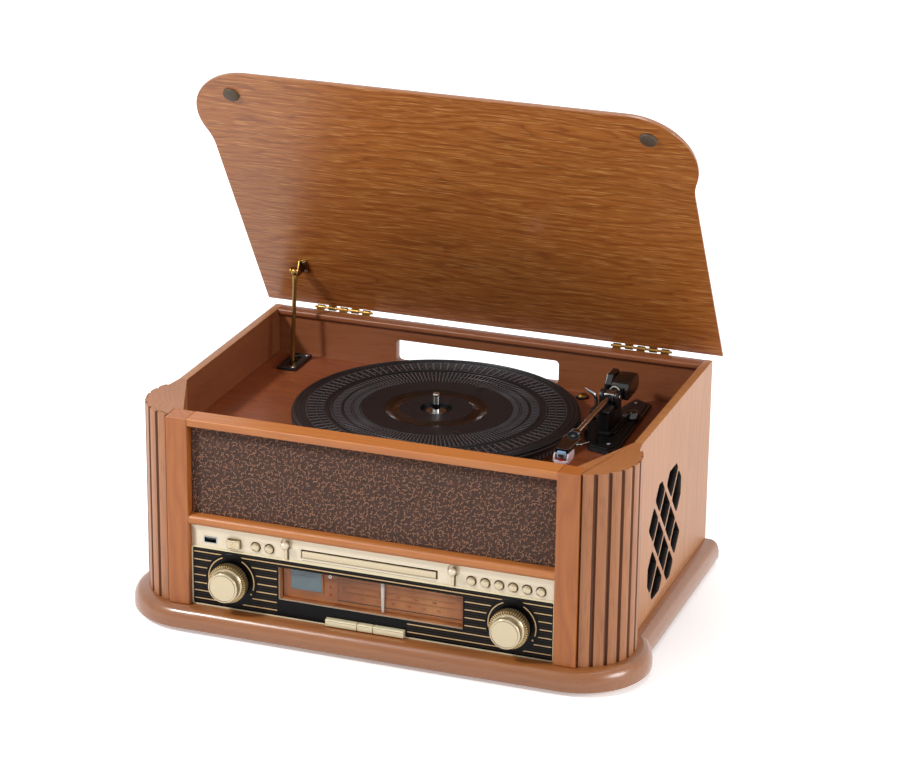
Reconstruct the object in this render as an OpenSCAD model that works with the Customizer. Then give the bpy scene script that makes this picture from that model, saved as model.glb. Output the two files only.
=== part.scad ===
// Wooden tabletop music centre: turntable under a hinged lid, radio dial, disc tray and knobs.
// Lengths in millimetres. X runs to the right, Y from the front to the back, Z up.
// Inside the modules y = 0 is the face of the front stiles and z = 0 the top of the base board.

/* [Cabinet] */
// Width over the two side walls
cab_w = 448.4; // [420:0.2:480]
// Depth from the stile faces to the back wall's outer face
cab_d = 323; // [319:1:345]
// Height of the cabinet above the base board
cab_h = 182.8; // [181:0.2:200]
// Thickness of the side walls
wall_t = 8.2; // [6:0.2:10]
// Thickness of the back wall
back_t = 14; // [10:0.5:16]
// Distance from a side wall's outer face to the stile's outer edge
stile_inset = 28.7; // [26:0.1:30]
// Width of a front stile
stile_w = 20.7; // [16:0.1:24]
// Depth of the front frame
frame_d = 21.5; // [18:0.5:23]
// Height of the top rail
top_rail_h = 7.6; // [6:0.2:10]
// Height of the middle rail's lower edge
mid_rail_z = 79.5; // [79:0.5:82]
// Height of the middle rail
mid_rail_h = 9.9; // [8:0.1:11]

/* [Corner columns] */
// Radius over the ribs of a corner column
column_r = 51.8; // [50:0.1:54]
// Distance from a side wall's outer face to the column's centre
column_inset = 41.2; // [40:0.1:43]
// Distance of the column's centre behind the stile faces
column_y = 53; // [52:0.1:54]
// Ribs on one column
rib_count = 7; // [5:1:9]
// Depth of the grooves between the ribs
groove_d = 2.6; // [1:0.1:4]
// Where the column ends against the side wall
column_end = 92.6; // [90:0.2:98]
// Overlap of the column behind the stile
column_lap = 8.5; // [6:0.5:12]

/* [Base and feet] */
// Height of the base board with its moulded edge
base_h = 19; // [16:0.5:24]
// Ledge left by the moulding round the cabinet
ledge = 6.5; // [5:0.5:8]
// Projection of the moulding at its widest
base_out = 14; // [12:0.5:17]
// Height of the quarter round
ovolo_h = 12; // [8:0.5:14]
// Radius where the moulding turns into the side
moulding_fillet = 15; // [12:1:20]
// Height of a foot
foot_h = 4; // [3:0.5:8]
// Radius of a foot
foot_r = 10; // [7:0.5:14]

/* [Deck and back wall] */
// Depth of the deck's top below the cabinet's top
deck_drop = 44.5; // [43:0.5:46]
// Thickness of the deck board
deck_t = 6; // [5:0.5:7]
// Size of a deck batten
batten = 10; // [6:0.5:12]
// Width of the window in the back wall
window_w = 167; // [150:1:190]
// Offset of the window's middle from the cabinet's middle
window_x = -9; // [-20:1:10]
// Height of the window
window_h = 23; // [18:0.5:26]
// Width of the opening for the rear terminals
terminal_w = 136; // [120:1:150]
// Height of the opening for the rear terminals
terminal_h = 35; // [30:1:45]

/* [Side vents] */
// Depth of the vent field along the wall
vent_w = 103; // [80:1:120]
// Height of the vent field
vent_h = 109; // [80:1:120]
// Spacing of the lattice bars
vent_pitch = 28.7; // [24:0.1:34]
// Width of a lattice bar that rises to the back
vent_rising = 3; // [2.5:0.1:5]
// Width of a lattice bar that falls to the back
vent_falling = 5.4; // [3:0.1:7]
// Slope of the lattice bars in degrees
vent_slope = 49; // [40:1:58]

/* [Grille and speakers] */
// Recess of the cloth behind the stile faces
grille_recess = 9.5; // [6:0.5:11]
// Thickness of the cloth on its board
cloth_t = 2.5; // [1:0.5:4]
// Room left between a speaker and the middle rail
speaker_room = 1.6; // [1:0.1:6]
// Width of a speaker's flange
speaker_w = 92; // [70:1:100]
// Distance of the speakers from the middle
speaker_x = 112; // [100:1:118]

/* [Control panel] */
// Recess of the panel behind the stile faces
panel_recess = 6; // [4:0.5:7]
// Thickness of the panel
panel_t = 3; // [2.5:0.25:3.5]
// Distance of the control board behind the panel's face
board_gap = 18; // [18:0.5:20]
// Half width of the dial window
dial_half = 88.7; // [85:0.1:92]
// Lower edge of the dial window
dial_z0 = 17.7; // [17:0.1:19]
// Height of the dial window
dial_h = 31.9; // [28:0.1:33]
// Where the pointer stands on the scale
pointer_x = 10.8; // [0:0.1:20]
// Distance of the knobs from the middle
knob_x = 135; // [133:0.5:138]
// Height of the knobs' axis
knob_z = 29.5; // [28:0.5:31]
// Radius of a knob's front disc
knob_r = 14.75; // [12:0.25:16]
// Radius of a knob's knurled skirt
skirt_r = 18; // [16:0.25:20]
// Reach of a knob in front of the stile faces
knob_reach = 15.5; // [14:0.5:22]
// Radius of the escutcheon round a knob
escutcheon_r = 24; // [21:0.5:26]
// Radius of a knob's shaft
shaft_r = 3; // [2.5:0.1:3.5]
// Radius of the dial cord's drum and pulley
drum_r = 8.5; // [7:0.5:9]
// Radius of a round button
button_r = 4; // [3:0.1:4.5]
// Spacing of the right-hand buttons
button_pitch = 13; // [11:0.1:13.5]
// How far the round buttons stand proud
button_out = 2.5; // [1.5:0.25:4]
// Travel of the buttons and keys
travel = 1; // [0.6:0.1:1.2]
// Radius of the ball on a lever key
ball_r = 4; // [3:0.25:4.5]

/* [Disc drive] */
// Width of the disc tray's front
tray_w = 128.4; // [126:0.2:132]
// Height of the disc tray's front
tray_h = 6.9; // [6:0.1:7.5]
// Lower edge of the disc tray's front
tray_z = 62.4; // [62:0.1:63]
// Diameter of the disc's recess
disc_d = 121; // [120.5:0.1:122]
// Length of the tray behind its front
tray_l = 150; // [148:1:158]

/* [Turntable] */
// Distance of the spindle behind the stile faces
spindle_y = 175; // [174:0.5:176]
// Radius of the record spindle
spindle_r = 3.55; // [3.5:0.01:3.6]
// Height of the spindle's tip above the deck
spindle_h = 32.7; // [28:0.1:36]
// Radius of the platter
platter_r = 135; // [128:0.5:136]
// Height of the mat's top above the deck
mat_h = 17.7; // [17:0.1:18.5]
// Thickness of the slip mat
mat_t = 3; // [2:0.5:4]
// Radius of the ring that the belt drives
ring_r = 62; // [56:0.5:70]
// Radius of the motor's pulley
pulley_r = 5; // [4:0.25:6]
// Distance from the spindle to the motor
motor_reach = 95; // [88:1:105]
// Radius of the motor
motor_r = 17.5; // [14:0.5:20]

/* [Tonearm] */
// Distance of the arm's pivot from the cabinet's middle
pivot_x = 152; // [150:0.5:154]
// Distance of the arm's pivot in front of the cabinet's back
pivot_back = 93; // [91:0.5:94]
// Height of the arm tube above the deck
arm_h = 31.2; // [31:0.1:32]
// Distance from the pivot to the stylus
arm_l = 142; // [138:1:145]
// Radius of the arm tube
tube_r = 2.6; // [2:0.1:2.9]
// Length of the counterweight
weight_l = 36; // [30:1:38]

/* [Lid] */
// Angle at which the lid stands open
lid_open = 57.4; // [50:0.2:60]
// Thickness of the lid
lid_t = 8; // [6:0.5:10]
// Reach of the lid in front of the stile faces
lid_over = 2.7; // [1:0.1:12]
// Overhang of the lid at each side
lid_side = 9; // [7:0.5:11]
// Overhang of the lid round a column
lid_bulge = 7.4; // [4:0.1:9]
// Gap between the closed lid and the cabinet
lid_gap = 3; // [2.6:0.1:4]
// Distance of the hinge axis behind the back wall
hinge_out = 3; // [2.8:0.1:4]
// Length of a hinge
hinge_l = 60; // [45:1:70]
// Middle of a hinge from the cabinet's middle
hinge_x = 152.7; // [140:0.5:165]
// Distance of the stay's pivot from the hinge axis, along the lid
stay_reach = 59.9; // [58:0.5:62]
// Distance of the stay rod from the middle
stay_x = 189; // [186:0.5:190]
// Radius of the stay rod
stay_r = 2; // [1.5:0.1:2.5]

/* [Hidden] */
$fn = 96;

// clearances: a seat between wooden pieces, a free gap, and a running fit
seat = 0.3;
gap = 0.25;
run = 0.05;
cut = 1; // how far a cutter passes the face that it opens

half_w = cab_w / 2;
inner_x = half_w - wall_t;
inner_y = cab_d - back_t;
pivot_y = cab_d - pivot_back;
stile_x1 = half_w - stile_inset;
stile_x0 = stile_x1 - stile_w;
column_x = half_w - column_inset;
column_front = acos((stile_x1 - column_x) / column_r);
column_back = 28;
lap_x = stile_x1 - column_lap;
mid_rail_top = mid_rail_z + mid_rail_h;
grille_top = cab_h - top_rail_h;
deck_z = cab_h - deck_drop;
deck_under = deck_z - deck_t;
wood = [0.62, 0.38, 0.2];
honey = [0.75, 0.5, 0.3];
champagne = [0.8, 0.76, 0.68];
black = [0.08, 0.08, 0.08];
brass = [0.72, 0.56, 0.3];
steel = [0.7, 0.7, 0.72];

panel_y = panel_recess;
panel_back = panel_y + panel_t;
panel_top = mid_rail_z - seat;
board_y = panel_y + board_gap;
board_t = 1.6;
switch_d = 3.5;
stem_end = board_y - switch_d - travel - 0.7;

hinge_y = cab_d + hinge_out;
hinge_z = cab_h + lid_gap / 2;
lid_start = 2.5;
knuckle_r = 2.4;
leaf_t = 1.2;
knuckle_gap = 4;
lid_edge_y = hinge_y - lid_start * cos(lid_open) + (lid_gap / 2 + lid_t) * sin(lid_open);
y_middle = (lid_edge_y - knob_reach) / 2;

// puts what is drawn in the cabinet's own coordinates in the part's frame
module place() translate([0, -y_middle, base_h + foot_h]) children();
module block(x, y, z) translate([x[0], y[0], z[0]]) cube([x[1] - x[0], y[1] - y[0], z[1] - z[0]]);
module disc_y(r, y) translate([0, y[0], 0]) rotate([-90, 0, 0]) cylinder(r = r, h = y[1] - y[0]);
module disc_x(r, x) translate([x[0], 0, 0]) rotate([0, 90, 0]) cylinder(r = r, h = x[1] - x[0]);
module disc_z(r, z) translate([0, 0, z[0]]) cylinder(r = r, h = z[1] - z[0]);
module at(x, y, z) translate([x, y, z]) children();
module centred(w, h, y) block([-w / 2, w / 2], y, [-h / 2, h / 2]);
module both_sides() for (side = [0, 1]) mirror([side, 0, 0]) children();
// a rounded rectangle in X and Z, extruded along Y
module plate_y(w, h, r, y) translate([0, y[1], 0]) rotate([90, 0, 0])
    linear_extrude(y[1] - y[0]) rounded(w, h, r);
module rounded(w, h, r) {
    square([w - 2 * r, h], center = true);
    square([w, h - 2 * r], center = true);
    for (x = [-1, 1], y = [-1, 1]) translate([x * (w / 2 - r), y * (h / 2 - r)]) circle(r);
}

// ---- cabinet ----
// a rib is round and ends in a narrow groove on each side: share of the rib, depth below its crown
rib_form = [[0, groove_d], [0.1, groove_d], [0.15, 0.3], [0.3, 0], [0.5, 0], [0.7, 0],
    [0.85, 0.3], [0.9, groove_d]];
function rib_points() = [for (k = [0:rib_count], p = rib_form) if (k < rib_count || p[0] == 0)
    let (a = -column_front + (column_front + column_back) * (k + p[0]) / rib_count,
         r = column_r - p[1])
    [max(stile_x1, column_x + r * cos(a)), column_y + r * sin(a)]];
function column_outline() = concat([[stile_x1, frame_d]], rib_points(),
    [[half_w, column_end], [inner_x, column_end], [lap_x, frame_d]]);
// outline of the room inside the cabinet, a clearance c inside its walls
function room(c) = [[inner_x - c, column_end], [inner_x - c, inner_y - c], [c - inner_x, inner_y - c],
    [c - inner_x, column_end], [c - lap_x, frame_d + c], [lap_x - c, frame_d + c]];

rail_set = 0.8; // the top rail's face behind the stiles
module front_frame() color(honey) place() {
    both_sides() block([stile_x0, stile_x1], [0, frame_d], [0, cab_h]);
    block([-stile_x0 - cut, stile_x0 + cut], [rail_set, frame_d], [grille_top, cab_h]);
    block([-stile_x0 - cut, stile_x0 + cut], [mid_rail_h / 2, frame_d], [mid_rail_z, mid_rail_top]);
    at(0, mid_rail_h / 2, mid_rail_z + mid_rail_h / 2)
        disc_x(mid_rail_h / 2, [-stile_x0 - cut, stile_x0 + cut]);
}

module corner_columns() color(wood) place()
    both_sides() linear_extrude(cab_h) polygon(column_outline());

// the openings between three bars that rise to the back and three that fall, without the far corners
vent_y = 174.5;
vent_z = 66.5;
vent_round = 3;
module vent_strip(lean, k, bar, reach) {
    low = k == -2 ? -reach : k * vent_pitch + bar / 2;
    high = k == 1 ? reach : (k + 1) * vent_pitch - bar / 2;
    rotate(lean * vent_slope) translate([-2 * vent_h, low]) square([4 * vent_h, high - low]);
}
module vent_field() intersection() {
    rounded(vent_w, vent_h, vent_round);
    for (i = [-2:1], j = [-2:1]) if (abs(i + 0.5) + abs(j + 0.5) < 2.6) intersection() {
        vent_strip(1, i, vent_rising, 1.85 * vent_pitch);
        vent_strip(-1, j, vent_falling, 2.15 * vent_pitch);
    }
}

module side_walls() color(wood) place() both_sides() {
    difference() {
        block([inner_x, half_w], [column_end, cab_d], [0, cab_h]);
        at(inner_x - cut, vent_y, vent_z) rotate([90, 0, 90]) linear_extrude(wall_t + 2 * cut)
            vent_field();
    }
    block([inner_x - batten, inner_x], [column_end + seat, inner_y - seat],
        [deck_under - batten, deck_under]);
}

window_z = deck_z + 4 + window_h / 2;
terminal_x = -10;
terminal_z = 38;
// the wall's inner face steps back behind the platter, under a lip along its top
rebate = 4;
lip_h = 6;
module back_wall() color(wood) place() difference() {
    block([-inner_x, inner_x], [inner_y, cab_d], [0, cab_h]);
    block([-inner_x - cut, inner_x + cut], [inner_y - cut, inner_y + rebate], [deck_z, cab_h - lip_h]);
    at(window_x, 0, window_z) plate_y(window_w, window_h, 4, [inner_y - cut, cab_d + cut]);
    at(terminal_x, 0, terminal_z) plate_y(terminal_w, terminal_h, 3, [inner_y - cut, cab_d + cut]);
}

// half outline of a slab that follows the cabinet at a distance d, from the back to the front
function follow(d, fillet) = let (r = column_r + d, side = half_w + d, fx = side + fillet - column_x,
    fy = sqrt(pow(r + fillet, 2) - pow(fx, 2)), meet = atan2(fy, fx))
    concat([[side, cab_d]],
        [for (k = [0:5]) let (a = 180 + meet * k / 5)
            [column_x + fx + fillet * cos(a), column_y + fy + fillet * sin(a)]],
        [for (k = [1:14]) let (a = meet - (meet + 90) * k / 14)
            [column_x + r * cos(a), column_y + r * sin(a)]]);
function mirrored(half) = concat(half, [for (k = [len(half) - 1:-1:0]) [-half[k][0], half[k][1]]]);
function ovolo(t) = [ledge + (base_out - ledge) * sin(t), -ovolo_h * (1 - cos(t))];
module base_moulding() color(wood) place() {
    profile = concat([for (k = [0:6]) ovolo(15 * k)], [[base_out, -base_h]]);
    rings = [for (p = profile) [for (q = mirrored(follow(p[0], moulding_fillet))) [q[0], q[1], p[1]]]];
    n = len(rings[0]);
    last = len(rings) - 1;
    points = [for (ring = rings) for (q = ring) q];
    faces = concat([[for (k = [n - 1:-1:0]) k]], [[for (k = [0:n - 1]) last * n + k]],
        [for (j = [0:last - 1], k = [0:n - 1])
            [j * n + k, j * n + (k + 1) % n, (j + 1) * n + (k + 1) % n]],
        [for (j = [0:last - 1], k = [0:n - 1])
            [j * n + k, (j + 1) * n + (k + 1) % n, (j + 1) * n + k]]);
    polyhedron(points, faces);
}

foot_in = 28;
module feet() color(black) place() for (x = [-half_w + foot_in, half_w - foot_in],
    y = [foot_in, cab_d - foot_in]) at(x, y, 0) disc_z(foot_r, [-base_h - foot_h, -base_h]);

stay_slot_y = 280.6 - 326 + hinge_y;
stay_slot = [28, 6];
module deck_board() color(wood) place() difference() {
    at(0, 0, deck_under) linear_extrude(deck_t) polygon(room(seat));
    at(0, spindle_y, 0) disc_z(bearing_r + gap, [deck_under - cut, deck_z + cut]);
    at(motor_x, motor_y, 0) disc_z(motor_hole_r, [deck_under - cut, deck_z + cut]);
    at(-stay_x, stay_slot_y + 1.5, 0) block([-stay_slot[1] / 2, stay_slot[1] / 2],
        [-stay_slot[0] / 2, stay_slot[0] / 2], [deck_under - cut, deck_z + cut]);
}

// ---- grille and speakers ----
cloth_back = grille_recess + cloth_t;
speaker_h = deck_under - seat - mid_rail_top - speaker_room;
speaker_z = deck_under - seat - speaker_h / 2;
module grille_board(y) block([seat - stile_x0, stile_x0 - seat], y, [mid_rail_top, grille_top - seat]);
module racetrack(w, h) {
    square([w - h, h], center = true);
    for (x = [-1, 1]) translate([x * (w - h) / 2, 0]) circle(h / 2);
}
module racetrack_y(w, h, y) translate([0, y[1], 0]) rotate([90, 0, 0])
    linear_extrude(y[1] - y[0]) racetrack(w, h);

cone_rim = 3.5;
module grille_cloth() color([0.32, 0.24, 0.2]) place() grille_board([grille_recess, cloth_back]);
module speaker_baffle() color(wood) place() difference() {
    grille_board([cloth_back, frame_d]);
    both_sides() at(speaker_x, 0, speaker_z)
        racetrack_y(speaker_w - 2 * cone_rim, speaker_h - 2 * cone_rim, [cloth_back - cut, frame_d + cut]);
}

flange_t = 3;
basket_d = 14;
magnet_step = 5.5; // from the flange's edge to the magnet
magnet_r = speaker_h / 2 - magnet_step;
dome_r = (magnet_r + 1) / 2;
magnet_d = 12;
module speaker() {
    difference() {
        union() {
            racetrack_y(speaker_w, speaker_h, [0, flange_t]);
            hull() {
                racetrack_y(speaker_w - 6, speaker_h - 6, [flange_t - 1, flange_t]);
                disc_y(magnet_r, [basket_d + flange_t - 1, basket_d + flange_t], $fn = 32);
            }
        }
        hull() {
            racetrack_y(speaker_w - 2 * cone_rim, speaker_h - 2 * cone_rim, [-cut, 0.5]);
            disc_y(dome_r, [basket_d - 1, basket_d], $fn = 32);
        }
    }
    disc_y(magnet_r, [basket_d + flange_t, basket_d + flange_t + magnet_d]);
}
module speakers() color(steel) place() both_sides() at(speaker_x, frame_d, speaker_z) speaker();

// ---- control panel ----
left_buttons = [-110.8, -97.5];
right_button_x = 96.1;
button_z = 65.8;
lever_x = [-80.6, 79.3];
lever_foot_z = 59;
ball_z = 73.5;
power_box = [[-138.2, -125.6], [61.5, 70]];
key_edges = [-41.9, -10.9, 4.4, 34.3];
key_z = [1.2, 7.8];
tray_x = -1.1;
socket_x = -155.6;
socket_z = 65.7;
socket_w = 13.1;
socket_h = 6.2;
window_mid = dial_z0 + dial_h / 2;
ball_y = panel_y - 4.5;
lever_pin_y = panel_back + 4;

module control_panel() color(champagne) place() difference() {
    block([seat - stile_x0, stile_x0 - seat], [panel_y, panel_back], [0, panel_top]);
    panel_cuts();
}
module panel_cuts() {
    through = [panel_y - cut, panel_back + cut];
    at(socket_x, 0, socket_z) plate_y(socket_w + 2 * gap, socket_h + 2 * gap, 0.5, through);
    block([power_box[0][0] - gap, power_box[0][1] + gap], through,
        [power_box[1][0] - gap, power_box[1][1] + gap]);
    for (x = left_buttons) at(x, 0, button_z) disc_y(button_r + gap, through);
    for (k = [0:5]) at(right_button_x + k * button_pitch, 0, button_z) disc_y(button_r + gap, through);
    for (x = lever_x) {
        at(x, 0, ball_z) disc_y(ball_r + 1.5, [panel_y - cut, panel_y + 2]);
        block([x - 1.9, x + 1.9], through, [lever_foot_z - 2.2, lever_foot_z + 2.6]);
    }
    at(tray_x, 0, tray_z + tray_h / 2) plate_y(tray_w + 1.6, tray_h + 1.6, 0.8, through);
    for (x = [-knob_x, knob_x]) at(x, 0, knob_z) disc_y(shaft_r + gap, through);
    at(0, 0, window_mid) plate_y(2 * dial_half, dial_h, 0.5, through);
    block([key_edges[0] - gap, key_edges[3] + gap], through, [key_z[0] - gap, key_z[1] + gap]);
}

escutcheon_t = 1;
module knob_escutcheons() color(black) place() both_sides() at(knob_x, 0, knob_z) difference() {
    disc_y(escutcheon_r, [panel_y - escutcheon_t, panel_y]);
    disc_y(shaft_r + gap, [panel_y - escutcheon_t - cut, panel_y + cut]);
}

glass_t = 2.4;
rim = 1.5;
module dial_glass() color([0.8, 0.85, 0.85, 0.4]) place() at(0, 0, window_mid)
    plate_y(2 * (dial_half - gap), dial_h - 2 * gap, 0.4, [panel_back - glass_t, panel_back]);

// the scale's housing: a shallow box behind the window, with the pointer's rail under it
wall = 4;
scale_y = panel_back + 4;
scale_back = scale_y + 3;
blade_y = [panel_back + 1.2, panel_back + 2.2];
rail_z = dial_z0 - 6.3;
rail_y = panel_back + 4;
rail_r = 1;
scale_x = [-33, 86];
lug_x = dial_half + 3.3;
module dial_scale() color([0.72, 0.45, 0.3]) place() {
    difference() {
        block([-dial_half - wall, dial_half + wall], [panel_back, scale_back],
            [dial_z0 - wall, dial_z0 + dial_h + wall]);
        block([rim - dial_half, dial_half - rim], [panel_back - cut, scale_y],
            [dial_z0 + rim, dial_z0 + dial_h - rim]);
        block([scale_x[0] - 3, dial_half - rim], [blade_y[0] - 0.4, blade_y[1] + 0.4],
            [dial_z0 - wall - cut, dial_z0 + rim + cut]);
    }
    for (x = [[scale_x[0] - 12, scale_x[0] - 8], [lug_x, lug_x + wall - 2.6]])
        block(x, [panel_back + 1, scale_back], [rail_z - 2.2, dial_z0 - wall + 0.5]);
    at(0, rail_y, rail_z) disc_x(rail_r, [scale_x[0] - 8, lug_x]);
}

lcd_x = [-79.2, -48.6];
lcd_z = [27.9, 46.9];
module lcd_module() color([0.42, 0.5, 0.53]) place()
    block(lcd_x, [panel_back + 0.4, scale_y], lcd_z);

carriage_w = 8;
cord_y = scale_back + 2.6;
cord_t = 0.8;
cord_r = drum_r + gap;
module dial_pointer() color([0.9, 0.9, 0.85]) place() at(pointer_x, 0, 0) {
    block([-0.6, 0.6], blade_y, [rail_z, dial_z0 + dial_h - rim - 1]);
    difference() {
        block([-carriage_w / 2, carriage_w / 2], [blade_y[0], scale_back + 1],
            [rail_z - 1.9, rail_z + 1.9]);
        at(0, rail_y, rail_z) disc_x(rail_r + run, [-carriage_w, carriage_w]);
    }
    block([-2, 2], [scale_back + 0.6, cord_y + cord_t], [rail_z - 1.9, knob_z - cord_r - cord_t - gap]);
}

// closed outline of a belt of radius ra round the origin and rb at (d, 0)
function belt(ra, rb, d) = let (a = acos((ra - rb) / d)) concat(
    [for (k = [0:24]) let (t = a + (360 - 2 * a) * k / 24) [ra * cos(t), ra * sin(t)]],
    [for (k = [0:12]) let (t = -a + 2 * a * k / 12) [d + rb * cos(t), rb * sin(t)]]);
module belt_loop(ra, rb, d, t, h) linear_extrude(h) difference() {
    polygon(belt(ra + t, rb + t, d));
    polygon(belt(ra, rb, d));
}
idler_x = scale_x[0] - 27;
module dial_cord() color(black) place() {
    at(knob_x, cord_y + cord_t / 2, knob_z) rotate([90, 180, 0])
        belt_loop(cord_r, cord_r, knob_x - idler_x, cord_t, cord_t);
    at(idler_x, 0, knob_z) {
        disc_y(drum_r, [cord_y - 1.5, cord_y + 1.5]);
        disc_y(2, [cord_y + 1.5, board_y]);
    }
}

knob_gap = 0.5;
skirt_d = 10.5;
module knob(drum) {
    back = panel_y - escutcheon_t - knob_gap;
    disc_y(skirt_r, [back - skirt_d, back]);
    disc_y(skirt_r - 1.6, [back - skirt_d - 1.2, back - skirt_d]);
    disc_y(knob_r, [-knob_reach, back - skirt_d - 1.2]);
    disc_y(shaft_r, [back, pot_y + 2]);
    if (drum) disc_y(drum_r, [cord_y - 1.5, cord_y + 1.5]);
}
pot_y = board_y - 3;
module volume_knob() color(champagne) place() at(-knob_x, 0, knob_z) knob(false);
module tuning_knob() color(champagne) place() at(knob_x, 0, knob_z) knob(true);

collar = 1;
stem_r = 1.6;
collar_y = [panel_back + gap, panel_back + gap + 1.2];
module round_button(x) color(champagne) place() at(x, 0, button_z) {
    disc_y(button_r, [panel_y - button_out, collar_y[1]]);
    disc_y(button_r + collar, collar_y);
    disc_y(stem_r, [collar_y[1], stem_end]);
}
module left_button(k) round_button(left_buttons[k - 1]);
module right_button(k) round_button(right_button_x + (k - 1) * button_pitch);

power_out = 4;
module power_button() color(champagne) place() {
    x = power_box[0];
    z = power_box[1];
    block(x, [panel_y - power_out, collar_y[1]], z);
    block([x[0] - collar, x[1] + collar], collar_y, [z[0] - collar, z[1] + collar]);
    at((x[0] + x[1]) / 2, 0, (z[0] + z[1]) / 2) disc_y(stem_r, [collar_y[1], stem_end]);
}
module band_key(k) color(champagne) place() {
    x = [key_edges[k - 1] + gap, key_edges[k] - gap];
    block(x, [panel_y - 5, collar_y[1]], key_z);
    block(x, collar_y, [key_z[0] - 0.7, key_z[1] + 0.9]);
    at((x[0] + x[1]) / 2, 0, (key_z[0] + key_z[1]) / 2) disc_y(stem_r - 0.2, [collar_y[1], stem_end]);
}

// a ball on a stem that tips about a pin behind the panel
lever_hub_r = 2;
module lever_key(x) color(champagne) place() at(x, 0, 0) {
    difference() {
        union() {
            at(0, lever_pin_y, lever_foot_z) disc_x(lever_hub_r, [-1.5, 1.5]);
            block([-1.5, 1.5], [ball_y - 1.2, lever_pin_y], [lever_foot_z - 1, lever_foot_z + 1]);
        }
        at(0, lever_pin_y, lever_foot_z) disc_x(pin_r + run, [-2, 2]);
    }
    block([-1.5, 1.5], [ball_y - 1.2, ball_y + 1.2], [lever_foot_z, ball_z]);
    at(0, ball_y, ball_z) sphere(r = ball_r);
}
pin_r = 0.8;

data_depth = 14;
module data_socket() color(steel) place() at(socket_x, 0, socket_z) difference() {
    block([-socket_w / 2, socket_w / 2], [panel_y - 0.3, board_y], [-socket_h / 2, socket_h / 2]);
    block([0.6 - socket_w / 2, socket_w / 2 - 0.6], [panel_y - cut, panel_y + data_depth],
        [0.6 - socket_h / 2, socket_h / 2 - 0.6]);
}

board_in = 9;
board_h = panel_top - 4.2;
module control_board() color([0.1, 0.35, 0.2]) place() {
    difference() {
        block([board_in - stile_x0, stile_x0 - board_in], [board_y, board_y + board_t], [0, board_h]);
        block([tray_x - tray_notch, tray_x + tray_notch], [board_y - cut, board_y + board_t + cut],
            [tray_top_z, board_h + cut]);
    }
    for (x = left_buttons) switch(x, button_z);
    for (k = [0:5]) switch(right_button_x + k * button_pitch, button_z);
    switch((power_box[0][0] + power_box[0][1]) / 2, (power_box[1][0] + power_box[1][1]) / 2);
    for (k = [0:2]) switch((key_edges[k] + key_edges[k + 1]) / 2, (key_z[0] + key_z[1]) / 2);
    for (x = [-knob_x, knob_x]) at(x, 0, knob_z) difference() {
        disc_y(8.5, [pot_y, board_y]);
        disc_y(shaft_r + run, [pot_y - cut, pot_y + 2.4]);
    }
    for (x = lever_x) {
        at(x, lever_pin_y, lever_foot_z) disc_x(pin_r, [-3, 3]);
        for (side = [-1, 1]) block([x + side * 2.4 - 0.6, x + side * 2.4 + 0.6],
            [lever_pin_y - 1.5, board_y], [lever_foot_z - 1.5, lever_foot_z + 1.5]);
    }
}
module switch(x, z) {
    block([x - 3, x + 3], [board_y - switch_d, board_y], [z - 3, z + 3]);
    at(x, 0, z) disc_y(1.5, [board_y - switch_d - 0.5, board_y]);
}

// ---- disc tray and drive ----
tray_front = panel_y - 1;
tray_half = tray_w / 2 - 5.2;
tray_floor = tray_z + 0.5;
tray_t = 5;
recess_t = 2;
disc_y0 = tray_front + 3.5 + disc_d / 2 + 4;
module disc_tray() color(champagne) place() at(tray_x, 0, 0) {
    block([-tray_w / 2, tray_w / 2], [tray_front, tray_front + 3.5], [tray_z, tray_z + tray_h]);
    difference() {
        block([-tray_half, tray_half], [tray_front + 3.5, tray_front + 3.5 + tray_l],
            [tray_floor, tray_floor + tray_t]);
        at(0, disc_y0, 0) disc_z(disc_d / 2, [tray_floor + tray_t - recess_t, tray_floor + tray_t + cut]);
        at(0, disc_y0, 0) disc_z(18, [tray_floor - cut, tray_floor + tray_t]);
        block([-18, 18], [disc_y0, disc_y0 + 48], [tray_floor - cut, tray_floor + tray_t]);
    }
}

drive_y = [panel_back + 3, tray_front + tray_l + 9];
rail_w = 6;
drive_z = 57;
drive_top = 73.5;
leg = 8;
tray_notch = tray_half + gap + rail_w + 2; // the control board is cut out round the drive
tray_top_z = drive_z - 1;
module disc_drive() color(black) place() at(tray_x, 0, 0) {
    outer = tray_half + gap + rail_w;
    block([-outer, outer], drive_y, [drive_z, drive_z + 2.5]);
    both_sides() {
        block([tray_half + gap, outer], drive_y, [drive_z, drive_top]);
        block([tray_half - 4, outer], drive_y, [drive_z, tray_floor - gap]);
    }
    block([-outer, outer], [disc_y0 - 16, disc_y0 + 16], [drive_top - 3, drive_top]);
    at(0, disc_y0, 0) disc_z(14, [drive_z, tray_floor - gap]);
    for (x = [-outer, outer - leg], y = [board_y + 14, drive_y[1] - leg])
        block([x, x + leg], [y, y + leg], [0, drive_z + 1]);
}

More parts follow.
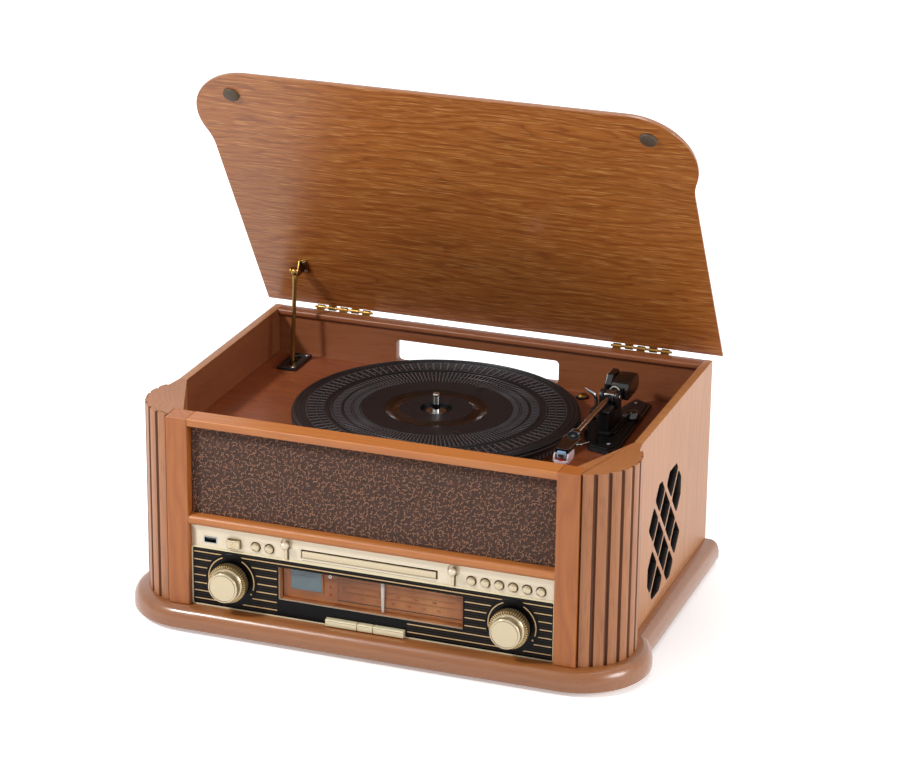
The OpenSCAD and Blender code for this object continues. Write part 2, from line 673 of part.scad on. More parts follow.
// ---- amplifier and rear terminals ----
amp_x = [20, 180];
amp_l = 88;
amp_gap = 21; // from the board's rear edge to the back wall
amp_y = [inner_y - amp_gap - amp_l, inner_y - amp_gap];
amp_z = 8;
post_r = 3;
post_in = 5;
transformer = [50, 42, 46]; // width, depth, height above the board
transformer_at = [12, 20];
sink_h = 40;
sink_plate = [4, 60];
sink_in = 60;
fin = [17, 2];
fin_pitch = 11;
can_r = 7;
can_h = 26;
can_pitch = 22;
module amplifier() color([0.1, 0.35, 0.2]) place() {
    low = amp_z + board_t - 0.6; // the parts are sunk a little into the board
    block(amp_x, amp_y, [amp_z, amp_z + board_t]);
    for (x = [amp_x[0] + post_in, amp_x[1] - post_in], y = [amp_y[0] + post_in, amp_y[1] - post_in])
        at(x, y, 0) disc_z(post_r, [0, amp_z + 0.5]);
    at(amp_x[0] + transformer_at[0], amp_y[0] + transformer_at[1], 0)
        block([0, transformer[0]], [0, transformer[1]], [low, amp_z + transformer[2]]);
    at(amp_x[1] - sink_in, amp_y[0] + 10, 0) {
        block([0, sink_plate[0]], [0, sink_plate[1]], [low, amp_z + sink_h]);
        for (k = [0:5]) block([sink_plate[0] - 1, sink_plate[0] - 1 + fin[0]],
            [2 + fin_pitch * k, 2 + fin[1] + fin_pitch * k], [low, amp_z + sink_h]);
    }
    for (k = [0:2]) at(amp_x[1] - 20, amp_y[0] + 18 + can_pitch * k, 0)
        disc_z(can_r, [low, amp_z + can_h]);
}

jack_r = 4.15;
jack_l = 9;
jack_x = [-55, -35];
jack_z = [30, 46];
jack_bore_r = 1.6;
inlet_x = 35;
inlet = [20, 12]; // clear width and height
inlet_wall = 4;
inlet_depth = 13;
blade_r = 1.2;
blade_x = 4.3;
plate_t = 1.5;
plate_lap = [6, 5]; // what the plate covers of the wall at the sides, above and below
module rear_panel() color(black) place() {
    difference() {
        union() {
            at(terminal_x, 0, terminal_z) centred(terminal_w + 2 * plate_lap[0],
                terminal_h + 2 * plate_lap[1], [inner_y - plate_t, inner_y]);
            at(inlet_x, 0, terminal_z) centred(inlet[0] + 2 * inlet_wall, inlet[1] + 2 * inlet_wall,
                [inner_y - inlet_depth - 3, inner_y + 2]);
        }
        at(inlet_x, 0, terminal_z)
            centred(inlet[0], inlet[1], [inner_y - inlet_depth, inner_y + 2 + cut]);
    }
    for (x = [-blade_x, blade_x]) at(inlet_x + x, 0, terminal_z)
        disc_y(blade_r, [inner_y - inlet_depth - 1, inner_y - 4]);
    for (x = jack_x, z = jack_z) at(x, 0, z) difference() {
        disc_y(jack_r, [inner_y - 1, inner_y + jack_l]);
        disc_y(jack_bore_r, [inner_y + 0.5, inner_y + jack_l + cut]);
    }
}

// ---- turntable ----
bearing_r = 9;
bearing_flange = 2.7;
motor_angle = 167;
motor_x = motor_reach * cos(motor_angle);
motor_y = spindle_y + motor_reach * sin(motor_angle);
motor_hole_r = 4;
mat_top = deck_z + mat_h;
platter_top = mat_top - mat_t;
plate_h = 5;
platter_under = platter_top - plate_h;
skirt_w = 4.5;
skirt_z = deck_z + 4.7;
label_r = [34.3, 48.4];
module platter() color([0.12, 0.12, 0.12]) place() at(0, spindle_y, 0) difference() {
    union() {
        disc_z(platter_r, [platter_under, platter_top]);
        difference() {
            disc_z(platter_r, [skirt_z, platter_under + cut]);
            disc_z(platter_r - skirt_w, [skirt_z - cut, platter_under]);
        }
        difference() {
            disc_z(ring_r, [skirt_z, platter_under + cut]);
            disc_z(ring_r - 4, [skirt_z - cut, platter_under]);
        }
        disc_z(13, [deck_z + bearing_flange + seat, platter_under + cut]);
    }
    disc_z(spindle_r + run, [deck_z, mat_top]);
}
module slip_mat() color(black) place() at(0, spindle_y, 0) difference() {
    disc_z(platter_r - 1, [platter_top, mat_top]);
    difference() {
        disc_z(label_r[1], [mat_top - 1.2, mat_top + cut]);
        disc_z(label_r[0], [mat_top - 2, mat_top + 2 * cut]);
    }
    disc_z(14.9, [platter_top - cut, mat_top + cut]);
}
module spindle() color(steel) place() at(0, spindle_y, 0) {
    disc_z(spindle_r, [deck_z - 30, deck_z + spindle_h - spindle_r * 0.6]);
    at(0, 0, deck_z + spindle_h - spindle_r * 0.6) rotate_extrude() intersection() {
        translate([0, -0.35 * spindle_r]) circle(spindle_r * 1.06);
        square([spindle_r, spindle_r]);
    }
}
module bearing_housing() color(steel) place() at(0, spindle_y, 0) difference() {
    union() {
        disc_z(bearing_r, [deck_z - 33, deck_z + 1]);
        disc_z(bearing_r + 4, [deck_z, deck_z + bearing_flange]);
    }
    disc_z(spindle_r + run, [deck_z - 30 - seat, deck_z + bearing_flange + cut]);
}
motor_h = 25;
motor_shaft_r = 1;
pulley_z = [deck_z + 2, platter_under - seat - 0.5];
module motor() color(steel) place() at(motor_x, motor_y, 0) difference() {
    disc_z(motor_r, [deck_under - motor_h, deck_under]);
    disc_z(motor_shaft_r + run, [deck_under - 7, deck_under + cut]);
}
module motor_pulley() color(brass) place() at(motor_x, motor_y, 0) {
    disc_z(pulley_r, pulley_z);
    disc_z(motor_shaft_r, [deck_under - 6, pulley_z[0] + cut]);
}
belt_t = 0.7;
belt_h = 3.5;
module drive_belt() color(black) place() at(0, spindle_y, skirt_z + 0.5) rotate(motor_angle)
    belt_loop(ring_r + seat, pulley_r + seat, motor_reach, belt_t, belt_h);

// ---- tonearm ----
arm_z = deck_z + arm_h;
base_t = 4.7;
base_front = -69;
base_back = 74;
tower_x = [-10, 9];
tower_y = [-33, 8.5];
tower_step = -15; // where the tower drops to its lower part
tower_low = arm_z - 9.5;
tower_high = arm_z - tube_r - 0.6;
yoke_h = seat;
prong_y = [-57, -51];
dial_at = [16, 20];
dial_r = 9;
cue_y = -3;
cue_z = deck_z + 16;
yaw_r = 4;
axle_r = 1.5;
module arm_at() place() at(pivot_x, pivot_y, 0) children();
module arm_base() color(black) arm_at() difference() {
    union() {
        at(0, 0, deck_z) linear_extrude(base_t) polygon([[-1, base_front + 5], [20, base_front],
            [26.5, base_front + 12], [22, base_back - 10], [4, base_back], [-18, tower_y[0] + 10]]);
        block(tower_x, [tower_y[0], tower_step + 1], [deck_z + 1, tower_high]);
        block(tower_x, [tower_step, tower_y[1]], [deck_z + 1, tower_low]);
        block([-4, 5], prong_y, [deck_z + 1, arm_z - tube_r - seat]);
        block([tube_r + 0.5, tube_r + 2.4], prong_y, [arm_z - tube_r - 1, arm_z + 1]);
        at(0, cue_y, cue_z) disc_x(axle_r, [tower_x[0] - 4.2, tower_x[0] + 1]);
        at(dial_at[0], dial_at[1], 0) disc_z(2, [deck_z + 1, deck_z + base_t + 4]);
    }
    disc_z(yaw_r + run, [deck_z + base_t + 1, tower_low + cut]);
}
cheek = 4;
slot_half = 5.2;
yoke_half = 6.4;
module arm_yoke() color(black) arm_at() difference() {
    union() {
        disc_z(yaw_r, [deck_z + base_t + 2, tower_low + 1]);
        block([-slot_half - cheek, slot_half + cheek], [-yoke_half, yoke_half],
            [tower_low + yoke_h, arm_z + 5.5]);
    }
    block([-slot_half, slot_half], [-yoke_half - cut, yoke_half + cut], [arm_z - 6, arm_z + 7]);
    at(0, 0, arm_z) disc_x(axle_r + run, [-slot_half - cheek - cut, slot_half + cheek + cut]);
}
shell_y = [-arm_l - 4, -arm_l + 36];
module arm_tube() color(steel) arm_at() {
    at(0, 0, arm_z) disc_y(tube_r, [shell_y[1] - 8, 16]);
    block([-slot_half + gap, slot_half - gap], [-6, 6], [arm_z - 4.5, arm_z + 4.5]);
    at(0, 0, arm_z) disc_x(axle_r, [-slot_half - cheek, slot_half + cheek]);
}
shell_z = [arm_z - 3.6, arm_z + 1.6];
module headshell() color(black) arm_at() difference() {
    union() {
        at(0, 0, shell_z[0]) linear_extrude(shell_z[1] - shell_z[0])
            polygon([[-6.5, shell_y[0]], [6.5, shell_y[0]], [8.5, shell_y[1] - 8], [5, shell_y[1]],
                [-5, shell_y[1]], [-8.5, shell_y[1] - 8]]);
        at(0, 0, arm_z) disc_y(tube_r + 1.2, [shell_y[1] - 6, shell_y[1] + 1]);
        block([6, 17], [shell_y[0] + 18, shell_y[0] + 22], [arm_z - 1.6, arm_z - 0.4]);
    }
    at(0, 0, arm_z) disc_y(tube_r + run, [shell_y[1] - 8.1, shell_y[1] + 2]);
}
guard_z = arm_z - 12.2;
module cartridge() color([0.85, 0.85, 0.9]) arm_at() {
    block([-6, 6], [shell_y[0] + 2, shell_y[0] + 20], [guard_z + 4, shell_z[0]]);
    block([-7, 7], [shell_y[0] - 3, shell_y[0] + 16], [guard_z, guard_z + 5]);
}
weight_y = [16, 16 + weight_l];
weight_x = 12.5;
weight_z = [-10, 11];
weight_chamfer = 33; // side of the turned block that takes the corners off
module counterweight() color(black) arm_at() difference() {
    intersection() {
        block([-weight_x, weight_x], weight_y, [arm_z + weight_z[0], arm_z + weight_z[1]]);
        at(0, 0, arm_z) rotate([0, 45, 0]) at(0, weight_y[0] - cut, 0)
            centred(weight_chamfer, weight_chamfer, [0, weight_l + 2 * cut]);
    }
    at(0, 0, arm_z) disc_y(tube_r + run, [weight_y[0] - cut, weight_y[0] + 0.5]);
}
module cue_lever() color(steel) arm_at() difference() {
    union() {
        at(tower_x[0] - 3.8, cue_y, cue_z) disc_x(3.6, [0, 3.5]);
        block([tower_x[0] - 3.8, tower_x[0] - 1.8], [cue_y - 1.8, cue_y + 1.8], [cue_z, arm_z + 3]);
        block([tower_x[0] - 13, tower_x[0] - 1.8], [cue_y - 1, cue_y + 1.8], [arm_z + 1.5, arm_z + 4]);
    }
    at(0, cue_y, cue_z) disc_x(axle_r + run, [tower_x[0] - 5, tower_x[0]]);
}
module anti_skate_dial() color(black) arm_at() at(dial_at[0], dial_at[1], deck_z + base_t) difference() {
    union() {
        disc_z(dial_r, [gap, 2]);
        at(0, 0, 2) cylinder(r1 = dial_r, r2 = dial_r - 3, h = 4.5);
    }
    disc_z(2 + run, [0, 4.2]);
}

// ---- lid, hinges and stay ----
// the lid's own frame: the hinge axis along X at the origin, the closed lid along -Y
module lid_frame() place() at(0, hinge_y, hinge_z) rotate([-lid_open, 0, 0]) children();
lid_r = column_r + lid_bulge;
lid_cx = column_x - 1.5;
lid_cy = lid_r - lid_over - hinge_y;
lid_fillet = 60;
// half outline of the lid, drawn in by e for the round along its upper edge
function lid_half(e) = let (side = half_w + lid_side, fx = side + lid_fillet - lid_cx,
    fy = sqrt(pow(lid_r + lid_fillet, 2) - pow(fx, 2)), meet = atan2(fy, fx))
    concat([[side - e, -lid_start]],
        [for (k = [0:8]) let (a = 180 + meet * k / 8)
            [lid_cx + fx + (lid_fillet + e) * cos(a), lid_cy + fy + (lid_fillet + e) * sin(a)]],
        [for (k = [1:18]) let (a = meet - (meet + 90) * k / 18)
            [lid_cx + (lid_r - e) * cos(a), lid_cy + (lid_r - e) * sin(a)]]);
lid_round = lid_t - 0.5;
under = lid_gap / 2;
module lid_panel() color(wood) lid_frame() at(0, 0, under) {
    rings = concat([for (q = mirrored(lid_half(0))) [q[0], q[1], 0]],
        [for (k = [0:4], q = mirrored(lid_half(lid_round * (1 - cos(22.5 * k)))))
            [q[0], q[1], lid_t - lid_round + lid_round * sin(22.5 * k)]]);
    n = len(rings) / 6;
    polyhedron(rings, concat([[for (k = [0:n - 1]) k], [for (k = [n - 1:-1:0]) 5 * n + k]],
        [concat([for (j = [5:-1:0]) j * n], [for (j = [0:5]) j * n + n - 1])],
        [for (j = [0:4], k = [0:n - 2]) [j * n + k, (j + 1) * n + k + 1, j * n + k + 1]],
        [for (j = [0:4], k = [0:n - 2]) [j * n + k, (j + 1) * n + k, (j + 1) * n + k + 1]]));
}

pad_r = 8;
pad_y = 24.5 - hinge_y;
stay_drop = 8;
pivot_z = under - stay_drop;
bracket_t = 2;
module lid_fittings() color(brass) lid_frame() {
    for (x = [-half_w + 25, half_w - 25]) at(x, pad_y, 0) disc_z(pad_r, [under - lid_gap + seat, under]);
    at(-stay_x, -stay_reach, pivot_z) {
        disc_x(stay_r, [-3.4, 4.5]);
        disc_x(stay_r + 1.4, [-4.4, -3.1]);
        block([3.2, 3.2 + bracket_t], [-6, 6], [-3, stay_drop]);
        block([3.2, 12], [-9, 9], [stay_drop - 1.5, stay_drop]);
    }
}

knuckles = 5;
module leaf(first, y, z) {
    pitch = hinge_l / knuckles;
    block([-hinge_l / 2, hinge_l / 2], y, z);
    for (k = [first:2:knuckles - 1]) at((k - knuckles / 2) * pitch, 0, 0) difference() {
        union() {
            block([knuckle_gap / 2, pitch - knuckle_gap / 2], y, first == 1 ? [0, z[0] + 1] : [z[1] - 1, 0]);
            disc_x(knuckle_r, [knuckle_gap / 2, pitch - knuckle_gap / 2]);
        }
        disc_x(hinge_pin_r + (first == 1 ? run : -run), [-cut, pitch + cut]);
    }
}
hinge_pin_r = 1.2;
module lid_hinge_leaves() color(brass) lid_frame() for (x = [-hinge_x, hinge_x]) at(x, 0, 0)
    leaf(1, [-lid_start, leaf_t - lid_start], [knuckle_r + 0.4, under + lid_t - 0.9]);
module cabinet_hinge_leaves() color(brass) place() for (x = [-hinge_x, hinge_x])
    at(x, hinge_y, hinge_z) {
        leaf(0, [-hinge_out, leaf_t - hinge_out], [-15, -knuckle_r - 0.4]);
        disc_x(hinge_pin_r, [-hinge_l / 2, hinge_l / 2]);
    }

// the stay hangs from the lid's bracket and runs down through the deck
stay_pin_y = hinge_y - stay_reach * cos(lid_open) + pivot_z * sin(lid_open);
stay_pin_z = hinge_z + stay_reach * sin(lid_open) + pivot_z * cos(lid_open);
stay_lean = atan2(stay_slot_y - stay_pin_y, stay_pin_z - deck_z);
stay_l = 105;
module stay_rod() color(brass) place() at(-stay_x, stay_pin_y, stay_pin_z) rotate([stay_lean, 0, 0])
    difference() {
        union() {
            disc_x(stay_r + 2, [-2.8, 2.8]);
            disc_z(stay_r, [-stay_l, -stay_r]);
        }
        disc_x(stay_r + run, [-4, 4]);
    }

guide_t = 3;
guide = [20, 44.5];
transit = [104.5, inner_y - 13];
transit_steps = [[6, 0, 1.8], [5, 1.8, 3.4], [3, 3.4, 4.8]]; // radius, from, to
module deck_fittings() color(black) place() {
    at(-stay_x + 1, stay_slot_y + 2.1, 0) difference() {
        block([-guide[0] / 2, guide[0] / 2], [-guide[1] / 2, guide[1] / 2], [deck_z, deck_z + guide_t]);
        at(-1, -0.6, 0) block([-stay_slot[1] / 2, stay_slot[1] / 2],
            [-stay_slot[0] / 2, stay_slot[0] / 2], [deck_z - cut, deck_z + guide_t + cut]);
    }
    for (step = transit_steps) at(transit[0], transit[1], deck_z) disc_z(step[0], [step[1], step[2]]);
}

front_frame();
corner_columns();
side_walls();
back_wall();
base_moulding();
feet();
deck_board();
speaker_baffle();
grille_cloth();
speakers();
control_panel();
knob_escutcheons();
dial_glass();
dial_scale();
lcd_module();
dial_pointer();
dial_cord();
volume_knob();
tuning_knob();
power_button();
left_button(1);  // left_button_1
left_button(2);  // left_button_2
right_button(1);  // right_button_1
right_button(2);  // right_button_2
right_button(3);  // right_button_3
right_button(4);  // right_button_4
right_button(5);  // right_button_5
right_button(6);  // right_button_6
lever_key(lever_x[0]);  // left_lever_key
lever_key(lever_x[1]);  // right_lever_key
band_key(1);  // band_key_1
band_key(2);  // band_key_2
band_key(3);  // band_key_3
disc_tray();
disc_drive();
data_socket();
control_board();
amplifier();
rear_panel();
platter();
slip_mat();
spindle();
bearing_housing();
motor();
motor_pulley();
drive_belt();
arm_base();
arm_yoke();
arm_tube();
headshell();
cartridge();
counterweight();
cue_lever();
anti_skate_dial();
lid_panel();
lid_fittings();
lid_hinge_leaves();
cabinet_hinge_leaves();
stay_rod();
deck_fittings();
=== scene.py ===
# %% [markdown]
# # A wooden music centre with a record player under its lid
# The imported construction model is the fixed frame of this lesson: every piece below is made
# around it, at its real place and size. The first cell loads that frame and keeps its overall
# box.

# %% Load the frame
import math

import bmesh
import bpy
from mathutils import Matrix, Vector


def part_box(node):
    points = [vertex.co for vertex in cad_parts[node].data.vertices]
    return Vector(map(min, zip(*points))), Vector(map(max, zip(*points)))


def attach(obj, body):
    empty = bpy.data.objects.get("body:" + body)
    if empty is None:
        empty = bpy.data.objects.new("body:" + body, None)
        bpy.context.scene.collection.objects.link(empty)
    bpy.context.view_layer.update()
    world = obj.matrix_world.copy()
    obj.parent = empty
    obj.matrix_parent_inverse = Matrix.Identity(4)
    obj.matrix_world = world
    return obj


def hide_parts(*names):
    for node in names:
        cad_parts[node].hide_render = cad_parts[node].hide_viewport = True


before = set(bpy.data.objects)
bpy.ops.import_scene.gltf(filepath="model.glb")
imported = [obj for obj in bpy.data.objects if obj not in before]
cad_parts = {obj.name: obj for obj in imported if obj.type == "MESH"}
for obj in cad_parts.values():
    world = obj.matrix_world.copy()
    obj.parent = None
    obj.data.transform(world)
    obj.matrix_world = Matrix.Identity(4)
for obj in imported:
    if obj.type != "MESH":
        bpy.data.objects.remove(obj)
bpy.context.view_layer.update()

# %% [markdown]
# ## A workbench in millimetres
# A cabinet maker measures from the face of the front stiles and from the top of the base board,
# in millimetres. One matrix carries such points into the frame, which is in metres. A second one
# stands at the hinge line and leans back with the open lid, so that the lid can be drawn lying
# flat.

# %% Two drawing boards
FACE_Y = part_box("front_frame")[0].y
BASE_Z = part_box("base_moulding")[1].z
CAB = Matrix.Translation((0, FACE_Y, BASE_Z)) @ Matrix.Scale(0.001, 4)
HINGE = Vector((0, 326, 184.3))
LID_OPEN = math.radians(57.4)
LID = CAB @ Matrix.Translation(HINGE) @ Matrix.Rotation(-LID_OPEN, 4, "X")
print("stile face at y =", round(FACE_Y, 4), "and base board top at z =", round(BASE_Z, 4))

# %% [markdown]
# ## Camera, floor and light
# The camera stands where the photographer stood: about 20 degrees to the right of the front and
# 20 degrees up, far away behind a long lens. The floor and the world show white to the camera and
# in gloss and glass, and the floor glows a little less near the object, so that it keeps its
# shadow. The lamps are soft and plain, with the main one high on the left as in a product
# photograph.

# %% Camera
azimuth, elevation, roll = (math.radians(a) for a in (19.753, 20.445, 0.647))
back = Vector((math.sin(azimuth) * math.cos(elevation),
               -math.cos(azimuth) * math.cos(elevation), math.sin(elevation)))
level = (-back).cross(Vector((0, 0, 1))).normalized()
upward = level.cross(-back)
right = math.cos(roll) * level + math.sin(roll) * upward
top = -math.sin(roll) * level + math.cos(roll) * upward
lens = bpy.data.cameras.new("camera")
lens.lens, lens.sensor_width, lens.clip_end = 125.18, 36, 50
camera = bpy.data.objects.new("camera", lens)
bpy.context.scene.collection.objects.link(camera)
camera.matrix_world = (Matrix.Translation(CAB @ Vector((931.3, -2381.4, 1194.6)))
                       @ Matrix((right, top, back)).transposed().to_4x4())
bpy.context.scene.camera = camera
bpy.context.scene.view_settings.view_transform = "Standard"
print("camera at", [round(c, 3) for c in camera.location])


# %% A short word for adding nodes
def add(tree, kind, inputs=None, **settings):
    """Adds a node, sets its options, and links or sets its inputs."""
    node = tree.nodes.new(kind)
    for key, value in settings.items():
        setattr(node, key, value)
    for key, value in (inputs or {}).items():
        if isinstance(value, bpy.types.NodeSocket):
            tree.links.new(value, node.inputs[key])
        else:
            node.inputs[key].default_value = value
    return node


def sums(tree, operation, a, b=0.0):
    return add(tree, "ShaderNodeMath", {0: a, 1: b}, operation=operation).outputs[0]


def rgb(code, alpha=1.0):
    """A colour written as six hex digits, as the linear numbers that Blender works with."""
    parts = [int(code[k:k + 2], 16) / 255 for k in (0, 2, 4)]
    return [p / 12.92 if p < 0.04 else ((p + 0.055) / 1.055) ** 2.4 for p in parts] + [alpha]


print("a mid grey reads", round(rgb("808080")[0], 3))

# %% World and floor
def backdrop_share(tree):
    """One for rays that show the backdrop: those of the camera, of gloss and of clear glass."""
    rays = add(tree, "ShaderNodeLightPath").outputs
    gloss = sums(tree, "MAXIMUM", rays["Is Glossy Ray"], rays["Is Transmission Ray"])
    return sums(tree, "MAXIMUM", rays["Is Camera Ray"], gloss)


world = bpy.data.worlds.new("studio")
bpy.context.scene.world = world
world.use_nodes = True
sky = world.node_tree
sky.nodes["Background"].inputs["Color"].default_value = (1, 1, 1, 1)
sky.links.new(sums(sky, "ADD", sums(sky, "MULTIPLY", backdrop_share(sky), 0.75), 0.25),
              sky.nodes["Background"].inputs["Strength"])

floor_mesh = bpy.data.meshes.new("floor")
floor_mesh.from_pydata([(-9, -9, 0), (9, -9, 0), (9, 9, 0), (-9, 9, 0)], [], [(0, 1, 2, 3)])
floor = bpy.data.objects.new("floor", floor_mesh)
bpy.context.scene.collection.objects.link(floor)
paper = bpy.data.materials.new("paper")
paper.use_nodes = True
sheet = paper.node_tree
sheet.nodes["Principled BSDF"].inputs["Base Color"].default_value = (0.92, 0.92, 0.93, 1)
sheet.nodes["Principled BSDF"].inputs["Roughness"].default_value = 0.9
sheet.nodes["Principled BSDF"].inputs["Emission Color"].default_value = (1, 1, 1, 1)
place = add(sheet, "ShaderNodeTexCoord").outputs["Object"]
spot = add(sheet, "ShaderNodeMapping", {"Vector": place, "Scale": (4.0, 5.6, 0)}).outputs[0]
reach = add(sheet, "ShaderNodeVectorMath", {0: spot}, operation="LENGTH").outputs["Value"]
glow, far = (add(sheet, "ShaderNodeMapRange",
                 {"Value": reach, "From Min": start, "From Max": end, "To Min": low,
                  "To Max": high}).outputs[0]
             for start, end, low, high in ((0.9, 1.9, 0.28, 0.62), (3.0, 9.0, 0.0, 0.35)))
sheet.links.new(sums(sheet, "MULTIPLY", backdrop_share(sheet), sums(sheet, "ADD", glow, far)),
                sheet.nodes["Principled BSDF"].inputs["Emission Strength"])
floor_mesh.materials.append(paper)
print("floor at z = 0")


# %% Lamps
def lamp(name, place, aim, size, power, tint=(1, 1, 1)):
    light = bpy.data.lights.new(name, "AREA")
    light.shape, light.size, light.energy, light.color = "DISK", size, power, tint
    holder = bpy.data.objects.new(name, light)
    bpy.context.scene.collection.objects.link(holder)
    holder.location = place
    holder.rotation_euler = (Vector(aim) - Vector(place)).to_track_quat("-Z", "Y").to_euler()


lamp("key", (-0.95, -1.0, 1.3), (0, 0, 0.2), 0.2, 22)
lamp("fill", (2.5, -0.45, 1.1), (0.1, 0, 0.15), 1.2, 42)
lamp("top", (0.2, 0.5, 2.6), (0, 0, 0.2), 1.2, 18)
print("three soft lamps")


# %% [markdown]
# ## Finishes
# Each finish is a small tree of nodes on the Principled shader. Patterns read Object coordinates,
# so they stay fixed to the wood in metres. The helper below starts a finish with its plain values
# set on the shader's own sockets.

# %% Starting a finish
SHORT = {"rough": "Roughness", "metal": "Metallic", "coat": "Coat Weight",
         "coat_rough": "Coat Roughness", "ior": "IOR", "see": "Transmission Weight",
         "alpha": "Alpha", "sheen": "Sheen Weight",
         "shine": "Specular IOR Level"}


def start_finish(name, colour, **plain):
    finish = bpy.data.materials.new(name)
    finish.use_nodes = True
    tree = finish.node_tree
    shader = tree.nodes["Principled BSDF"]
    shader.inputs["Base Color"].default_value = rgb(colour)
    for key, value in plain.items():
        shader.inputs[SHORT[key]].default_value = value
    return finish, tree, shader


def mixed(tree, share, a, b, blend="MIX"):
    """Mixes two colours, each a hex code or a socket."""
    a, b = (rgb(c) if isinstance(c, str) else c for c in (a, b))
    return add(tree, "ShaderNodeMix", {0: share, 6: a, 7: b}, data_type="RGBA",
               blend_type=blend).outputs[2]


def stretched(tree, scale, shift=(0, 0, 0)):
    """Object coordinates, scaled along each axis."""
    place = add(tree, "ShaderNodeTexCoord").outputs["Object"]
    return add(tree, "ShaderNodeMapping",
               {"Vector": place, "Location": shift, "Scale": scale}).outputs[0]


def cloudy(tree, where, scale, detail=3.0, lacunarity=2.0):
    return add(tree, "ShaderNodeTexNoise", {"Vector": where, "Scale": scale, "Detail": detail,
                                            "Lacunarity": lacunarity}).outputs["Fac"]


def ramped(tree, value, stops):
    ramp = add(tree, "ShaderNodeValToRGB", {"Fac": value})
    while len(ramp.color_ramp.elements) < len(stops):
        ramp.color_ramp.elements.new(0.5)
    for element, (place, colour) in zip(ramp.color_ramp.elements, stops):
        element.position = place
        element.color = rgb(colour)
    return ramp.outputs["Color"]


def bumped(tree, shader, height, distance, strength=1.0):
    bump = add(tree, "ShaderNodeBump", {"Height": height, "Distance": distance,
                                        "Strength": strength})
    tree.links.new(bump.outputs[0], shader.inputs["Normal"])


print(len(SHORT), "short names for the shader's sockets")

# %% [markdown]
# ## Stained oak veneer
# Oak shows growth rings, long slow streaks and short open pores. A board is a slice through a
# trunk, so the rings come from the distance to a heart line that runs along the grain near the
# board, made wavy by a slow noise that is drawn out along the grain: that gives the pointed
# cathedral figure. Pores are a very fine noise, drawn out the same way and cut off hard.


# %% Wood
def wood(name, deep, mid, light, grain, rings=230, heart=(0, 0, 0), wave=5.0, pore="5a3014",
         pore_share=0.5, rough=0.42, coat=0.12, streaks=0.5, figure=0.3):
    finish, tree, shader = start_finish(name, mid, rough=rough, coat=coat, coat_rough=0.22)
    axis = "XYZ".index(grain)

    def along(share, across=1.0, shift=(0, 0, 0)):
        scale = [across] * 3
        scale[axis] = share
        return stretched(tree, scale, shift)

    slow = cloudy(tree, along(0.22), 17, 3)
    trunk = along(0.0, 1.0, [-h for h in heart])
    reach = add(tree, "ShaderNodeVectorMath", {0: trunk}, operation="LENGTH").outputs["Value"]
    count = sums(tree, "ADD", sums(tree, "MULTIPLY", reach, rings),
                 sums(tree, "MULTIPLY", slow, wave * 2))
    ring = sums(tree, "FRACT", count)
    colour = ramped(tree, ring, [(0.0, mid), (0.35, light), (0.75, mid), (0.93, deep), (1.0, mid)])
    colour = mixed(tree, figure, mid, colour)
    broad = cloudy(tree, along(0.12), 34, 4)
    colour = mixed(tree, sums(tree, "MULTIPLY", broad, streaks), colour, deep)
    fine = cloudy(tree, along(5, 330), 1, 2)
    colour = mixed(tree, ramped(tree, fine, [(0.38, "000000"), (0.7, "505050")]), colour, light)
    pores = cloudy(tree, along(42, 1050), 1, 1)
    open_pore = ramped(tree, pores, [(0.58, "000000"), (0.66, "ffffff")])
    colour = mixed(tree, sums(tree, "MULTIPLY", open_pore, pore_share), colour, pore)
    tree.links.new(colour, shader.inputs["Base Color"])
    bumped(tree, shader, sums(tree, "ADD", sums(tree, "MULTIPLY", open_pore, -0.6), fine), 0.00012,
           0.5)
    return finish


lid_oak = wood("lid_oak", "743c12", "a85f26", "c07a36", "X", rings=105, heart=(0, 0.06, 0.372),
               wave=5.5, pore="e6aa62", pore_share=0.45, rough=0.36, figure=0.6)
lid_top_oak = wood("lid_top_oak", "7a431c", "a0622e", "b87a42", "X", rings=150,
                   heart=(0, 0.02, 0.42), wave=6.0, pore="6a3a18", rough=0.25, coat=0.6)
deck_oak = wood("deck_oak", "6a3018", "8f4a26", "a86033", "X", rings=200, heart=(0, 0.05, 0.12),
                wave=7.0, pore="52290f", pore_share=0.6, figure=0.35)
column_oak = wood("column_oak", "85502b", "aa6a3b", "bd8355", "Z", rings=200,
                  heart=(0.02, 0.02, 0), wave=6.0, pore="6c3f1d", pore_share=0.45, streaks=0.75,
                  figure=0.3)
side_oak = wood("side_oak", "96592f", "b57a48", "c68d5c", "Z", rings=90, heart=(0.3, 0.3, 0),
                wave=3.0, pore="8f5f3a", pore_share=0.5, streaks=0.6, figure=0.25)
rear_oak = wood("rear_oak", "6b3a20", "8f5330", "9f6744", "X", rings=110, heart=(0, 0.3, 0.3),
                wave=3.0, pore="5c3220", pore_share=0.3, streaks=0.4, figure=0.15)
stile_oak = wood("stile_oak", "8c4818", "aa5e22", "c07a36", "Z", rings=160, heart=(0.1, 0.06, 0),
                 wave=4.0, pore="8c5122", pore_share=0.4, streaks=0.75, figure=0.4)
rail_oak_and_top_highlight = wood("rail_oak_and_top_highlight", "9a5524", "b86e32", "cb8a4a", "X", rings=160, heart=(0, 0.06, 0.1),
                wave=4.0, pore="a5632f", pore_share=0.3, streaks=0.5, figure=0.3)
base_oak = wood("base_oak", "72401e", "955a2c", "a86e3e", "X", rings=100, heart=(0, 0.1, -0.1),
                wave=4.0, pore="6a3b26", pore_share=0.25, rough=0.3, coat=0.6, streaks=0.35,
                figure=0.15)
# A darker oak for the faces inside the column flutes: painted shade in the grooves.
groove_shade_oak = wood("groove_shade_oak", "4c2912", "6a3c1e", "7d4b29", "Z", rings=200, wave=6.0,
                  pore="3c2010", pore_share=0.3, figure=0.2, rough=0.6, coat=0.0)
inner_oak_and_shade = wood("inner_oak_and_shade", "5b2d17", "7d4526", "8f5631", "Y", rings=110, heart=(0.3, 0, 0.3),
                 wave=3.0, pore="4c2a18", pore_share=0.3, figure=0.15)


